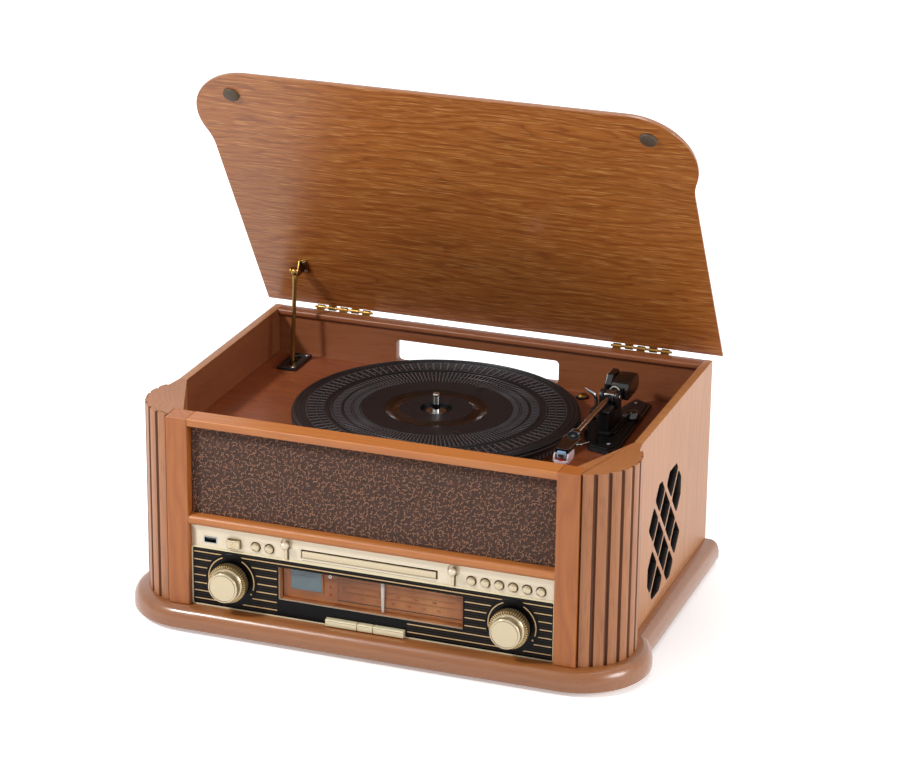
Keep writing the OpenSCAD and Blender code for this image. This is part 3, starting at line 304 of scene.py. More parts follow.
def darkened_below(finish, level, colour):
    """Paints a near-black colour over a finish below a height: painted shade inside the case, below
    the deck.
    """
    tree = finish.node_tree
    socket = tree.nodes["Principled BSDF"].inputs["Base Color"]
    place = add(tree, "ShaderNodeTexCoord").outputs["Object"]
    height = add(tree, "ShaderNodeSeparateXYZ", {0: place}).outputs["Z"]
    below = sums(tree, "LESS_THAN", height, level)
    tree.links.new(mixed(tree, below, socket.links[0].from_socket, colour), socket)


# Inner faces of the case below the deck are painted near black: painted shade.
darkened_below(inner_oak_and_shade, 0.155, "0d0806")
print("eleven cuts of oak, from honey to dark stain")

# %% [markdown]
# ## Metal, plastic, rubber and glass
# The panel and its knobs are moulded plastic with a champagne metallic paint: a half metallic
# colour with a fine cloud of a second one. Blacks differ by gloss, so each has its own roughness
# and shine, and a faint cloud keeps a large dark area from looking like a hole.


# %% Paints, plastics and metals
def speckled(name, colour, other, size, depth=0.00004, share=0.5, **plain):
    """A finish with a fine cloud of a second colour and a matching bump."""
    finish, tree, shader = start_finish(name, colour, **plain)
    grain = cloudy(tree, stretched(tree, (1, 1, 1)), size, 3)
    tree.links.new(mixed(tree, sums(tree, "MULTIPLY", grain, share), colour, other),
                   shader.inputs["Base Color"])
    bumped(tree, shader, grain, depth, 0.5)
    return finish


champagne = speckled("champagne_paint", "dccfb8", "c8baa0", 2400, 0.00002, rough=0.4, metal=0.35)
champagne_knob = speckled("champagne_knob", "c2b498", "a8997c", 1800, 0.00002, rough=0.27,
                          metal=0.75)
cream_line = speckled("cream_line", "e2d6b4", "cfc29c", 900, rough=0.4, metal=0.2)
gold_print = speckled("gold_print", "cfae7e", "b8935f", 1500, rough=0.45, metal=0.2)
dim_print = speckled("dim_print", "3c3024", "2e241b", 1500, rough=0.5, shine=0.1)
gloss_black = speckled("gloss_black", "0b0b0c", "151516", 300, 0.00001, rough=0.16, coat=0.4)
# Satin black for plastic parts, also used as painted shade on the knob skirts between the ribs.
satin_black_and_shade = speckled("satin_black_and_shade", "0c0c0d", "141416", 1400, rough=0.38, shine=0.3)
moulded_black = speckled("moulded_black", "101011", "1a191a", 2600, 0.00005, rough=0.3, shine=0.35)
mat_rubber = speckled("mat_rubber", "131316", "1d1c20", 1700, 0.00004, rough=0.4, shine=0.25)
# A lighter grey on the raised marks of the mat and platter: a painted highlight.
mat_raised_highlight = speckled("mat_raised_highlight", "525256", "2c2a2b", 1700, rough=0.24, coat=0.3)
# Deep black for the panel's field, and also painted shade behind the tray slot and the buttons.
panel_black_and_shade = speckled("panel_black_and_shade", "060506", "0b0a0b", 600, 0.00001, rough=0.3, shine=0.12)
belt_rubber = speckled("belt_rubber", "121212", "1c1c1c", 900, rough=0.6)
chrome = speckled("chrome", "c9c6c2", "b5b1ad", 700, 0.000004, rough=0.09, metal=1.0)
bright_steel = speckled("bright_steel", "aeb0b3", "95979a", 600, 0.00001, rough=0.26, metal=1.0)
old_brass = speckled("old_brass", "93703c", "6e4f27", 260, 0.00002, rough=0.3, metal=1.0)
brass_rib = speckled("brass_rib", "c9ae7c", "a98c58", 900, rough=0.3, metal=0.8)
bronze_pad = speckled("bronze_pad", "554636", "3b3027", 700, 0.00006, rough=0.55, metal=0.3)
board_green = speckled("board_green", "143d26", "10311f", 900, rough=0.4)
baffle_board = speckled("baffle_board", "6f5236", "5b432c", 500, rough=0.8)
guard_shell = speckled("guard_shell", "e6d2d6", "dcc2c8", 300, rough=0.2)
pale_blue = speckled("pale_blue", "8fb2cf", "7fa1c0", 600, rough=0.3)
red_tip = speckled("red_tip", "c33227", "a82820", 600, rough=0.35)
red_lamp = speckled("red_lamp", "b4402c", "8c2c1e", 900, rough=0.2, coat=0.5)
ivory = speckled("ivory", "e6e1d5", "d8d2c4", 500, rough=0.35)
window_glass = speckled("window_glass", "0c0d0d", "101212", 60, 0.000001, rough=0.03, alpha=0.08)
print(len(bpy.data.materials), "finishes so far")


# %% Cloth, dial and display
def grille_cloth_finish():
    """Woven cloth: fine warp and weft, with slow vertical streaks."""
    finish, tree, shader = start_finish("grille_cloth", "4a3629", rough=0.85, sheen=0.1)
    warp = cloudy(tree, stretched(tree, (900, 60, 60)), 1, 2)
    weft = cloudy(tree, stretched(tree, (60, 60, 900)), 1, 2)
    weave = sums(tree, "ADD", warp, weft)
    colour = ramped(tree, sums(tree, "MULTIPLY", weave, 0.5),
                    [(0.36, "24150f"), (0.52, "45281c"), (0.66, "6b4433")])
    streak = cloudy(tree, stretched(tree, (90, 1, 4)), 1, 2)
    colour = mixed(tree, sums(tree, "MULTIPLY", streak, 0.5), colour, "3a2a20")
    tree.links.new(colour, shader.inputs["Base Color"])
    bumped(tree, shader, weave, 0.0003, 0.8)
    return finish


def dial_finish():
    """The printed scale: a brown foil with soft upright bands."""
    finish, tree, shader = start_finish("dial_print", "b06a3c", rough=0.35)
    band = cloudy(tree, stretched(tree, (26, 1, 3)), 1, 2)
    colour = ramped(tree, band, [(0.3, "86481f"), (0.5, "ac652f"), (0.72, "c68048")])
    tree.links.new(colour, shader.inputs["Base Color"])
    return finish


cloth = grille_cloth_finish()
stroke_yarn = speckled("stroke_yarn", "a0745a", "80583f", 900, rough=0.7)
# Dark copies of the strokes, set just beside them as their painted shadow.
painted_shadow_yarn = speckled("painted_shadow_yarn", "1d1410", "2a1d16", 900, rough=0.8)
dial_foil = dial_finish()
lcd_pane = speckled("lcd_pane", "61767f", "56696f", 40, 0.000002, rough=0.18, coat=0.5)
ink = speckled("ink", "3a2013", "2e1a10", 900, rough=0.6)
print("cloth, dial foil and display pane")


# %% [markdown]
# ## Making meshes
# Most pieces start as one of four forms: a box with rounded edges, a turned form, a plate with
# holes and a bent wire. Each maker below takes millimetres, builds the mesh where it belongs,
# turns its normals outwards and leaves the object itself at the origin.


# %% A mesh becomes a piece
FLAT_SHARE = 30          # a face this many times larger than its neighbour counts as a broad flat


def settle(name, shape, finish, where=CAB, crease=32):
    """Turns a bmesh in millimetres into an object in the frame.

    An edge shades sharp where it folds more than crease, and where a broad flat face meets a
    narrow rounding, so that the rounding doesn't tint the flat.
    """
    bmesh.ops.remove_doubles(shape, verts=shape.verts, dist=0.0005)
    bmesh.ops.transform(shape, matrix=where, verts=shape.verts)
    bmesh.ops.recalc_face_normals(shape, faces=shape.faces)
    for face in shape.faces:
        face.smooth = True
    for edge in shape.edges:
        areas = [face.calc_area() for face in edge.link_faces]
        broad = max(areas, default=0) > FLAT_SHARE * min(areas, default=0)
        edge.smooth = not broad and edge.calc_face_angle(math.pi) < math.radians(crease)
    mesh = bpy.data.meshes.new(name)
    shape.to_mesh(mesh)
    shape.free()
    mesh.materials.append(finish)
    piece = bpy.data.objects.new(name, mesh)
    bpy.context.scene.collection.objects.link(piece)
    return piece


def joined(name, pieces):
    """Several pieces as one, each face keeping its finish."""
    bpy.ops.object.select_all(action="DESELECT")
    for piece in pieces:
        piece.select_set(True)
    bpy.context.view_layer.objects.active = pieces[0]
    bpy.ops.object.join()
    pieces[0].name = pieces[0].data.name = name
    return pieces[0]


def dress(piece, body, slot, *nodes):
    """Hangs a piece on its body and hides the nodes that it stands for; its slot is not used."""
    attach(piece, body)
    if nodes:
        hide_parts(*nodes)
    print(f"{piece.name}: {len(piece.data.polygons)} faces on {body}")
    return piece


print("pieces settle with their place in the mesh")


# %% Boxes and bars
def box(name, low, high, finish, edge=0.6, steps=2, where=CAB):
    shape = bmesh.new()
    bmesh.ops.create_cube(shape, size=1)
    for v in shape.verts:
        v.co = Vector(l + (c + 0.5) * (h - l) for l, h, c in zip(low, high, v.co))
    if edge:
        bmesh.ops.bevel(shape, geom=shape.edges[:], offset=edge, segments=steps, profile=0.5,
                        affect="EDGES")
    return settle(name, shape, finish, where)


def prism(name, outline, low, high, finish, turn=Matrix(), edge=0.6, where=CAB, crease=32):
    """An outline drawn flat, given its thickness, with its upper and lower edges rounded."""
    count = len(outline)
    flat = [Vector(p) for p in outline]
    area = sum(flat[k - 1].x * flat[k].y - flat[k].x * flat[k - 1].y for k in range(count))
    sign = 1 if area > 0 else -1
    inward = []
    for k in range(count):
        before, after = flat[k] - flat[k - 1], flat[(k + 1) % count] - flat[k]
        n1 = Vector((-before.y, before.x)).normalized() * sign
        n2 = Vector((-after.y, after.x)).normalized() * sign
        inward.append((n1 + n2) / max(0.35, 1 + n1.dot(n2)))
    levels = [(edge * (1 - math.sin(a)), edge * (1 - math.cos(a)))
              for a in (0, math.pi / 4, math.pi / 2)] if edge else [(0, 0)]
    rings = [(low + rise, inset) for inset, rise in levels]
    rings += [(high - rise, inset) for inset, rise in levels[::-1]]
    shape = bmesh.new()
    rows = [[shape.verts.new(turn @ Vector((*(p + n * inset), z))) for p, n in zip(flat, inward)]
            for z, inset in rings]
    for lower, upper in zip(rows, rows[1:]):
        for k in range(count):
            shape.faces.new((lower[k - 1], lower[k], upper[k], upper[k - 1]))
    shape.faces.new(rows[0])
    shape.faces.new(rows[-1])
    return settle(name, shape, finish, where, crease)


# a drawing in X and Z stood up facing the front, and one in Y and Z stood up facing the side
UPRIGHT = Matrix(((1, 0, 0, 0), (0, 0, 1, 0), (0, 1, 0, 0), (0, 0, 0, 1)))
SIDEWAYS = Matrix(((0, 0, 1, 0), (1, 0, 0, 0), (0, 1, 0, 0), (0, 0, 0, 1)))
print("boxes, bars and prisms")


# %% Turned forms
def turned(name, profile, finish, at=(0, 0, 0), axis="Z", steps=72, where=CAB, crease=32,
           start=0.0):
    """A profile of (radius, height) pairs, spun round an axis through a point."""
    stand = {"Z": Matrix(), "Y": Matrix.Rotation(-math.pi / 2, 4, "X"),
             "X": Matrix.Rotation(math.pi / 2, 4, "Y")}[axis]
    move = Matrix.Translation(at) @ stand
    shape = bmesh.new()
    rows = []
    for radius, height in profile:
        rows.append([shape.verts.new(move @ Vector((
            radius * math.cos(start + 2 * math.pi * k / steps),
            radius * math.sin(start + 2 * math.pi * k / steps), height)))
            for k in range(steps)])
    closed = profile[0][0] > 0.001 and profile[-1][0] > 0.001
    pairs = list(zip(rows, rows[1:])) + ([(rows[-1], rows[0])] if closed else [])
    for lower, upper in pairs:
        for k in range(steps):
            shape.faces.new((lower[k - 1], lower[k], upper[k], upper[k - 1]))
    bmesh.ops.dissolve_degenerate(shape, dist=0.0005, edges=shape.edges)
    return settle(name, shape, finish, where, crease)


def arc(centre, radius, start, end, steps=6):
    """Points on an arc, in degrees."""
    return [(centre[0] + radius * math.cos(math.radians(start + (end - start) * k / steps)),
             centre[1] + radius * math.sin(math.radians(start + (end - start) * k / steps)))
            for k in range(steps + 1)]


def rounded_rect(x0, z0, x1, z1, r, steps=5):
    return (arc((x1 - r, z1 - r), r, 0, 90, steps) + arc((x0 + r, z1 - r), r, 90, 180, steps)
            + arc((x0 + r, z0 + r), r, 180, 270, steps) + arc((x1 - r, z0 + r), r, 270, 360, steps))


def circle(x, z, r, steps=40):
    return arc((x, z), r, 0, 360 * (1 - 1 / steps), steps - 1)


# %% Plates with holes and bent wires
def plate(name, outline, holes, low, high, finish, turn=Matrix(), edge=0.4, where=CAB):
    """A flat curve with holes, thickened by the curve's own extrusion and edge bevel."""
    drawing = bpy.data.curves.new(name, "CURVE")
    drawing.dimensions, drawing.fill_mode = "2D", "BOTH"
    for loop in [outline, *holes]:
        line = drawing.splines.new("POLY")
        line.points.add(len(loop) - 1)
        for point, (x, y) in zip(line.points, loop):
            point.co = (x, y, 0, 1)
        line.use_cyclic_u = True
    drawing.extrude = (high - low) / 2 - edge
    drawing.bevel_depth, drawing.bevel_resolution, drawing.offset = edge, 1, -edge
    holder = bpy.data.objects.new(name, drawing)
    bpy.context.scene.collection.objects.link(holder)
    flat = bpy.data.meshes.new_from_object(
        holder.evaluated_get(bpy.context.evaluated_depsgraph_get()))
    bpy.data.objects.remove(holder)
    shape = bmesh.new()
    shape.from_mesh(flat)
    bmesh.ops.translate(shape, vec=(0, 0, (low + high) / 2), verts=shape.verts)
    bmesh.ops.transform(shape, matrix=turn, verts=shape.verts)
    return settle(name, shape, finish, where)


def wire(name, points, radius, finish, where=CAB, sides=12, smooth=True, radii=None):
    """A round bar along a line of points."""
    path = bpy.data.curves.new(name, "CURVE")
    path.dimensions = "3D"
    line = path.splines.new("NURBS" if smooth else "POLY")
    line.points.add(len(points) - 1)
    for k, (point, place) in enumerate(zip(line.points, points)):
        point.co = (*place, 1)
        point.radius = radii[k] if radii else 1
    if smooth:
        line.use_endpoint_u, line.order_u = True, 3
    path.bevel_depth, path.bevel_resolution, path.use_fill_caps = radius, sides // 4, True
    path.resolution_u = 6
    holder = bpy.data.objects.new(name, path)
    bpy.context.scene.collection.objects.link(holder)
    mesh = bpy.data.meshes.new_from_object(
        holder.evaluated_get(bpy.context.evaluated_depsgraph_get()))
    bpy.data.objects.remove(holder)
    shape = bmesh.new()
    shape.from_mesh(mesh)
    return settle(name, shape, finish, where)


print("turned forms, plates and wires")


# %% [markdown]
# ## Geometry Nodes for what repeats
# Knurls, ticks, dots and stitches are one small form set again and again by a rule. A tree of
# Geometry Nodes says the rule once, with named inputs for its sizes. Its result is made real,
# given its finish, and baked to a plain mesh, so that nothing depends on the tree afterwards.


# %% Starting and running a tree
def grow_tree(name, **sizes):
    tree = bpy.data.node_groups.new(name, "GeometryNodeTree")
    tree.interface.new_socket("Geometry", in_out="OUTPUT", socket_type="NodeSocketGeometry")
    kinds = {int: "NodeSocketInt", float: "NodeSocketFloat", tuple: "NodeSocketVector"}
    for label, value in sizes.items():
        kind = kinds.get(type(value), "NodeSocketMaterial")
        socket = tree.interface.new_socket(label, in_out="INPUT", socket_type=kind)
        if kind != "NodeSocketMaterial":
            socket.default_value = value
    return tree, add(tree, "NodeGroupInput").outputs, add(tree, "NodeGroupOutput")


def end_tree(tree, end, geometry, finish):
    real = add(tree, "GeometryNodeRealizeInstances", {0: geometry})
    painted = add(tree, "GeometryNodeSetMaterial", {"Geometry": real.outputs[0],
                                                    "Material": finish})
    tree.links.new(painted.outputs[0], end.inputs[0])


def grown(name, tree, where=CAB, crease=32, **sizes):
    """Runs a tree with these sizes, and returns its result as a plain piece."""
    holder = bpy.data.objects.new(name, bpy.data.meshes.new(name))
    bpy.context.scene.collection.objects.link(holder)
    modifier = holder.modifiers.new("grow", "NODES")
    modifier.node_group = tree
    for item in tree.interface.items_tree:
        if item.in_out == "INPUT" and item.name in sizes:
            modifier[item.identifier] = sizes[item.name]
    bpy.context.view_layer.update()
    mesh = bpy.data.meshes.new_from_object(
        holder.evaluated_get(bpy.context.evaluated_depsgraph_get()))
    bpy.data.objects.remove(holder)
    mesh.transform(where)
    mesh.shade_smooth()
    mesh.set_sharp_from_angle(angle=math.radians(crease))
    piece = bpy.data.objects.new(name, mesh)
    bpy.context.scene.collection.objects.link(piece)
    return piece


print("trees can be grown")

# %% A ring of small blocks
ring_tree, size, ring_end = grow_tree(
    "ring_of_blocks", Count=60, Radius=10.0, Height=0.0, Block=(1.0, 1.0, 1.0), Lean=0.0,
    Finish=None)
hoop = add(ring_tree, "GeometryNodeMeshCircle", {"Vertices": size["Count"],
                                                 "Radius": size["Radius"]})
block = add(ring_tree, "GeometryNodeMeshCube", {"Size": size["Block"]})
number = add(ring_tree, "GeometryNodeInputIndex").outputs[0]
turn_each = sums(ring_tree, "DIVIDE", 2 * math.pi, size["Count"])
turn_z = sums(ring_tree, "ADD", sums(ring_tree, "MULTIPLY", number, turn_each), size["Lean"])
spin = add(ring_tree, "ShaderNodeCombineXYZ", {"Z": turn_z}).outputs[0]
rows = add(ring_tree, "GeometryNodeInstanceOnPoints",
           {"Points": hoop.outputs[0], "Instance": block.outputs[0], "Rotation": spin})
lift = add(ring_tree, "ShaderNodeCombineXYZ", {"Z": size["Height"]}).outputs[0]
raised = add(ring_tree, "GeometryNodeTransform", {"Geometry": rows.outputs[0],
                                                  "Translation": lift})
end_tree(ring_tree, ring_end, raised.outputs[0], size["Finish"])
print("ring tree:", len(ring_tree.nodes), "nodes")

# %% A row of small blocks
row_tree, size, row_end = grow_tree(
    "row_of_blocks", Count=10, Start=(0.0, 0.0, 0.0), Step=(1.0, 0.0, 0.0),
    Block=(1.0, 1.0, 1.0), Finish=None)
points = add(row_tree, "GeometryNodeMeshLine", {"Count": size["Count"],
                                                "Start Location": size["Start"],
                                                "Offset": size["Step"]})
block = add(row_tree, "GeometryNodeMeshCube", {"Size": size["Block"]})
rows = add(row_tree, "GeometryNodeInstanceOnPoints", {"Points": points.outputs[0],
                                                      "Instance": block.outputs[0]})
end_tree(row_tree, row_end, rows.outputs[0], size["Finish"])
print("row tree:", len(row_tree.nodes), "nodes")

# %% [markdown]
# ## The cabinet's front frame
# Two upright stiles and two rails frame the grille and the panel. The stiles are cut with the
# grain upright and the rails with the grain across, so they are separate boards with separate
# finishes. The middle rail has a round nose, which is drawn as a side profile and pushed along
# the rail.

# %% Stiles and rails
HALF_W, INNER_X, WALL_TOP = 224.2, 216.0, 182.8
CAB_D, BACK_IN = 323.0, 309.0
STILE_OUT, STILE_IN, FRAME_D = 195.5, 174.8, 21.5
RAIL_LOW, RAIL_HIGH, TOP_RAIL = 79.5, 89.4, 175.2

stiles = joined("front_stiles", [
    box("stile", (min(s * STILE_IN, s * STILE_OUT), 0, 0.05),
        (max(s * STILE_IN, s * STILE_OUT), FRAME_D, WALL_TOP), stile_oak, 0.9, 3)
    for s in (-1, 1)])
dress(stiles, "cabinet", "front_wood", "front_frame")

ALONG_X = Matrix(((0, 0, 1, 0), (1, 0, 0, 0), (0, 1, 0, 0), (0, 0, 0, 1)))
nose = (RAIL_HIGH - RAIL_LOW) / 2
mid_profile = (arc((nose, RAIL_LOW + nose), nose, 90, 270, 14)
               + [(FRAME_D, RAIL_LOW), (FRAME_D, RAIL_HIGH)])
top_profile = (arc((2.3, WALL_TOP - 1.5), 1.5, 90, 180, 5) + arc((2.3, TOP_RAIL + 1.5), 1.5, 180,
               270, 5) + [(FRAME_D, TOP_RAIL), (FRAME_D, WALL_TOP)])
rails = joined("front_rails", [
    prism("rail", profile, -STILE_IN, STILE_IN, rail_oak_and_top_highlight, ALONG_X, 0)
    for profile in (mid_profile, top_profile)])
dress(rails, "cabinet", "front_wood", "front_frame")

# %% [markdown]
# ## Fluted corner columns
# Each front corner is a quarter of a fluted column: seven round ribs with narrow grooves. The
# rule is a radius that depends on the angle, so the outline is worked out from that rule and
# given the cabinet's height, with a fine rounding at the top, where the photograph shows a light
# edge.

# %% Columns
COLUMN, COLUMN_R, RIBS, GROOVE = Vector((183.0, 53.0)), 51.8, 7, 2.6
FIRST, LAST = -76.04, 28.0


def rib_depth(share):
    """Depth below the crown of a rib, at a share of its width."""
    edge = abs(2 * share - 1)
    if edge < 0.74:
        return 0.35 * (edge / 0.74) ** 4
    return 0.35 + (GROOVE - 0.35) * min(1, (edge - 0.74) / 0.1)


def column_outline(side):
    per_rib = 20
    points = [(STILE_OUT, FRAME_D)]
    for k in range(RIBS * per_rib + 1):
        a = math.radians(FIRST + (LAST - FIRST) * k / (RIBS * per_rib))
        r = COLUMN_R - rib_depth(k % per_rib / per_rib)
        points.append((max(STILE_OUT, COLUMN.x + r * math.cos(a)), COLUMN.y + r * math.sin(a)))
    points += [(HALF_W, 92.6), (INNER_X, 92.6), (187.0, FRAME_D)]
    clean = [p for k, p in enumerate(points) if (Vector(p) - Vector(points[k - 1])).length > 0.05]
    return [(side * x, y) for x, y in clean]


columns = joined("corner_posts", [
    prism("post", column_outline(s), 0.05, WALL_TOP, column_oak, edge=0.45, crease=24)
    for s in (-1, 1)])
# Faces deep inside the flutes take the darker oak: painted shade in the grooves.
columns.data.materials.append(groove_shade_oak)
for polygon in columns.data.polygons:
    x, y, z = CAB.inverted() @ polygon.center
    depth = COLUMN_R - (Vector((abs(x), y)) - COLUMN).length
    if abs(polygon.normal.z) < 0.5 and 0.9 < depth < 4.9:
        polygon.material_index = 1
dress(columns, "cabinet", "cabinet_wood", "corner_columns")

# %% [markdown]
# ## Side walls with a lattice vent
# The vent is twelve openings between crossing bars. Each opening starts as a rectangle that is
# cut down by straight lines, one for each bar, and its corners are rounded afterwards. A flat
# curve with these openings as holes is then given the wall's thickness and a small edge round.

# %% Lattice openings
VENT_MID, VENT_SIZE = Vector((174.5, 66.5)), Vector((103.0, 109.0))
VENT_PITCH, VENT_SLOPE, RISING, FALLING = 28.7, math.radians(49), 3.0, 5.4


def keep_side(shape, normal, limit):
    """The part of a convex outline on the near side of a line."""
    kept = []
    for a, b in zip([shape[-1]] + shape[:-1], shape):
        da, db = a.dot(normal) - limit, b.dot(normal) - limit
        if (da <= 0) != (db <= 0):
            kept.append(a + (b - a) * da / (da - db))
        if db <= 0:
            kept.append(b)
    return kept


def round_corners(shape, radius, steps=4):
    points = []
    for k, corner in enumerate(shape):
        before, after = shape[k - 1] - corner, shape[(k + 1) % len(shape)] - corner
        half = before.angle(after) / 2
        reach = min(radius / math.tan(half), before.length * 0.45, after.length * 0.45)
        a, b = corner + before.normalized() * reach, corner + after.normalized() * reach
        for step in range(steps + 1):
            t = step / steps
            points.append(tuple(a * (1 - t) ** 2 + corner * 2 * t * (1 - t) + b * t * t))
    return points


def vent_openings():
    low, high = VENT_MID - VENT_SIZE / 2, VENT_MID + VENT_SIZE / 2
    rise = Vector((-math.sin(VENT_SLOPE), math.cos(VENT_SLOPE)))
    fall = Vector((math.sin(VENT_SLOPE), math.cos(VENT_SLOPE)))
    found = []
    for i in range(-2, 2):
        for j in range(-2, 2):
            if abs(i + 0.5) + abs(j + 0.5) > 2.6:
                continue
            shape = [Vector(p) for p in ((low.x, low.y), (high.x, low.y), (high.x, high.y),
                                         (low.x, high.y))]
            for normal, k, bar, reach in ((rise, i, RISING, 1.85), (fall, j, FALLING, 2.15)):
                mid = VENT_MID.dot(normal)
                near = -reach * VENT_PITCH if k == -2 else k * VENT_PITCH + bar / 2
                far = reach * VENT_PITCH if k == 1 else (k + 1) * VENT_PITCH - bar / 2
                shape = keep_side(shape, normal, mid + far)
                shape = keep_side(shape, -normal, -(mid + near))
            rim = abs(i + 0.5) > 1 or abs(j + 0.5) > 1
            found.append(round_corners(shape, 4.5 if rim else 1.6))
    return found


openings = vent_openings()
print(len(openings), "openings in a wall")

# %% Side walls
walls = []
for s in (-1, 1):
    outside = [(92.6, 0.05), (CAB_D, 0.05), (CAB_D, WALL_TOP), (92.6, WALL_TOP)]
    walls.append(plate("wall", outside, openings, min(s * INNER_X, s * HALF_W),
                       max(s * INNER_X, s * HALF_W), side_oak, SIDEWAYS, 0.5))
    walls.append(box("batten", (min(s * 206, s * INNER_X), 92.9, 122.3),
                     (max(s * 206, s * INNER_X), 308.7, 132.3), deck_oak, 0.5))
side_walls = joined("side_walls_with_vents", walls)
# The inner faces and the vent's cut edges take the inner oak, painted near black below the deck as
# painted shade.
side_walls.data.materials.append(inner_oak_and_shade)
for polygon in side_walls.data.polygons:
    x, y, z = CAB.inverted() @ polygon.center
    in_vent = abs(polygon.normal.x) < 0.5 and 115 < y < 235 and 5 < z < 125
    if abs(abs(x) - INNER_X) < 0.1 or in_vent:
        polygon.material_index = 2
dress(side_walls, "cabinet", "cabinet_wood", "side_walls")

# %% [markdown]
# ## Back wall, deck and base
# The back wall has a window, through which the rim of a large record passes, and an opening for
# the terminals. The deck is a flat board in the room between the walls. The base is a solid board
# whose moulded edge follows the cabinet round both columns: a profile swept along a path, which
# is what Curve to Mesh in Geometry Nodes does.

# %% Back wall and deck
terminals = rounded_rect(-78, 20.5, 58, 55.5, 3)
back = joined("back_board", [
    plate("outer", [(-INNER_X, 0.05), (INNER_X, 0.05), (INNER_X, WALL_TOP), (-INNER_X, WALL_TOP)],
          [rounded_rect(-92.5, 142.3, 74.5, 165.3, 4), terminals], BACK_IN + 4, CAB_D, rear_oak,
          UPRIGHT, 0.5),
    plate("inner", [(-INNER_X, 0.05), (INNER_X, 0.05), (INNER_X, 138.2), (-INNER_X, 138.2)],
          [terminals], BACK_IN, BACK_IN + 4, rear_oak, UPRIGHT, 0.2),
    prism("lip", arc((BACK_IN + 2, 178.8), 2, 270, 180)
          + arc((BACK_IN + 2, WALL_TOP - 2), 2, 180, 90)
          + [(BACK_IN + 4, WALL_TOP), (BACK_IN + 4, 176.8)],
          -INNER_X, INNER_X, rear_oak, SIDEWAYS, 0)])
dress(back, "cabinet", "cabinet_wood", "back_wall")

DECK_LOW, DECK = 132.3, 138.3
room = [(216.0 - 0.3, 92.6), (215.7, 308.7), (-215.7, 308.7), (-215.7, 92.6), (-186.7, 21.8),
        (186.7, 21.8)]
MOTOR = (-92.57, 196.37)
deck = plate("deck", room, [circle(0, 175, 9.25), circle(*MOTOR, 4),
                            rounded_rect(-192, 268.1, -186, 296.1, 1)],
             DECK_LOW, DECK, deck_oak, edge=0.3)
dress(deck, "cabinet", "cabinet_wood", "deck_board")

# %% Base moulding
BASE_H, LEDGE, REACH, OVOLO = 19.0, 6.5, 14.0, 12.0


def base_path():
    """The cabinet's outline at floor level, from the back on the right round to the left."""
    fillet = 15.0
    fx = HALF_W + fillet - COLUMN.x
    fy = math.sqrt((COLUMN_R + fillet) ** 2 - fx ** 2)
    meet = math.degrees(math.atan2(fy, fx))
    half = [(HALF_W, CAB_D), (HALF_W, 250), (HALF_W, 170)]
    half += arc((COLUMN.x + fx, COLUMN.y + fy), fillet, 180, 180 + meet, 8)
    half += arc((COLUMN.x, COLUMN.y), COLUMN_R, meet, -90, 22)[1:]
    return half + [(-x, y) for x, y in half[::-1]]


sweep_tree, size, sweep_end = grow_tree("moulding_along_a_path", Finish=None)
for title in ("Path", "Profile"):
    sweep_tree.interface.new_socket(title, in_out="INPUT", socket_type="NodeSocketObject")
group_in = add(sweep_tree, "NodeGroupInput").outputs
road = add(sweep_tree, "GeometryNodeObjectInfo", {"Object": group_in["Path"]})
knife = add(sweep_tree, "GeometryNodeObjectInfo", {"Object": group_in["Profile"]})
swept = add(sweep_tree, "GeometryNodeCurveToMesh",
            {"Curve": road.outputs["Geometry"], "Profile Curve": knife.outputs["Geometry"],
             "Fill Caps": True})
end_tree(sweep_tree, sweep_end, swept.outputs[0], group_in["Finish"])


def line_object(name, points, closed):
    curve = bpy.data.curves.new(name, "CURVE")
    curve.dimensions = "3D"
    line = curve.splines.new("POLY")
    line.points.add(len(points) - 1)
    for point, place in zip(line.points, points):
        point.co = (*place, 1)
    line.use_cyclic_u = closed
    holder = bpy.data.objects.new(name, curve)
    bpy.context.scene.collection.objects.link(holder)
    return holder


profile = ([(-9, 0), (LEDGE - 0.6, 0), (LEDGE, -0.3)]
           + [(LEDGE + (REACH - LEDGE) * math.sin(math.radians(a)),
               -0.6 - OVOLO * (1 - math.cos(math.radians(a)))) for a in range(8, 91, 8)]
           + [(REACH, -BASE_H + 1.6), (REACH - 0.5, -BASE_H + 0.5), (REACH - 1.6, -BASE_H),
              (-9, -BASE_H)])
road_line = line_object("moulding_path", [(x, y, 0) for x, y in base_path()], False)
knife_line = line_object("moulding_profile", [(-x, -z, 0) for x, z in profile], True)
moulding = grown("moulding", sweep_tree, Path=road_line, Profile=knife_line, Finish=base_oak,
                 crease=40)
for helper in (road_line, knife_line):
    bpy.data.objects.remove(helper)
print("moulding:", len(moulding.data.polygons), "faces")

inside = [(x * 0.975, 8 + (y - 8) * 0.985) for x, y in base_path()[1:-1]]
slab = prism("slab", [(218, CAB_D - 0.2)] + inside + [(-218, CAB_D - 0.2)],
             -BASE_H + 0.1, -0.05, base_oak, edge=0)
base = joined("base_with_moulding", [moulding, slab])
# Upward faces of the base take the lighter rail oak: a painted highlight on its top.
base.data.materials.append(rail_oak_and_top_highlight)
for polygon in base.data.polygons:
    if polygon.normal.z > 0.9:
        polygon.material_index = 1
dress(base, "cabinet", "base_wood", "base_moulding")

# %% Feet
foot_form = [(0, -23), (8.6, -23), (9.6, -22.6), (10, -22), (10, -19.6), (9.4, -19), (0, -19)]
feet = joined("rubber_feet", [turned("foot", foot_form, belt_rubber, (x, y, 0), steps=40)
                              for x in (-196.2, 196.2) for y in (28, 295)])
dress(feet, "cabinet", "rubber_black", "feet")

# %% [markdown]
# ## Grille
# The cloth over the speakers has a woven ground with small curled strokes of lighter yarn, almost
# three to a centimetre, each with a dark copy near it as its painted shadow. The cloth is a thin
# board with rolled edges. One Geometry Nodes tree scatters the strokes over it, with a seed, and
# turns each one at random.

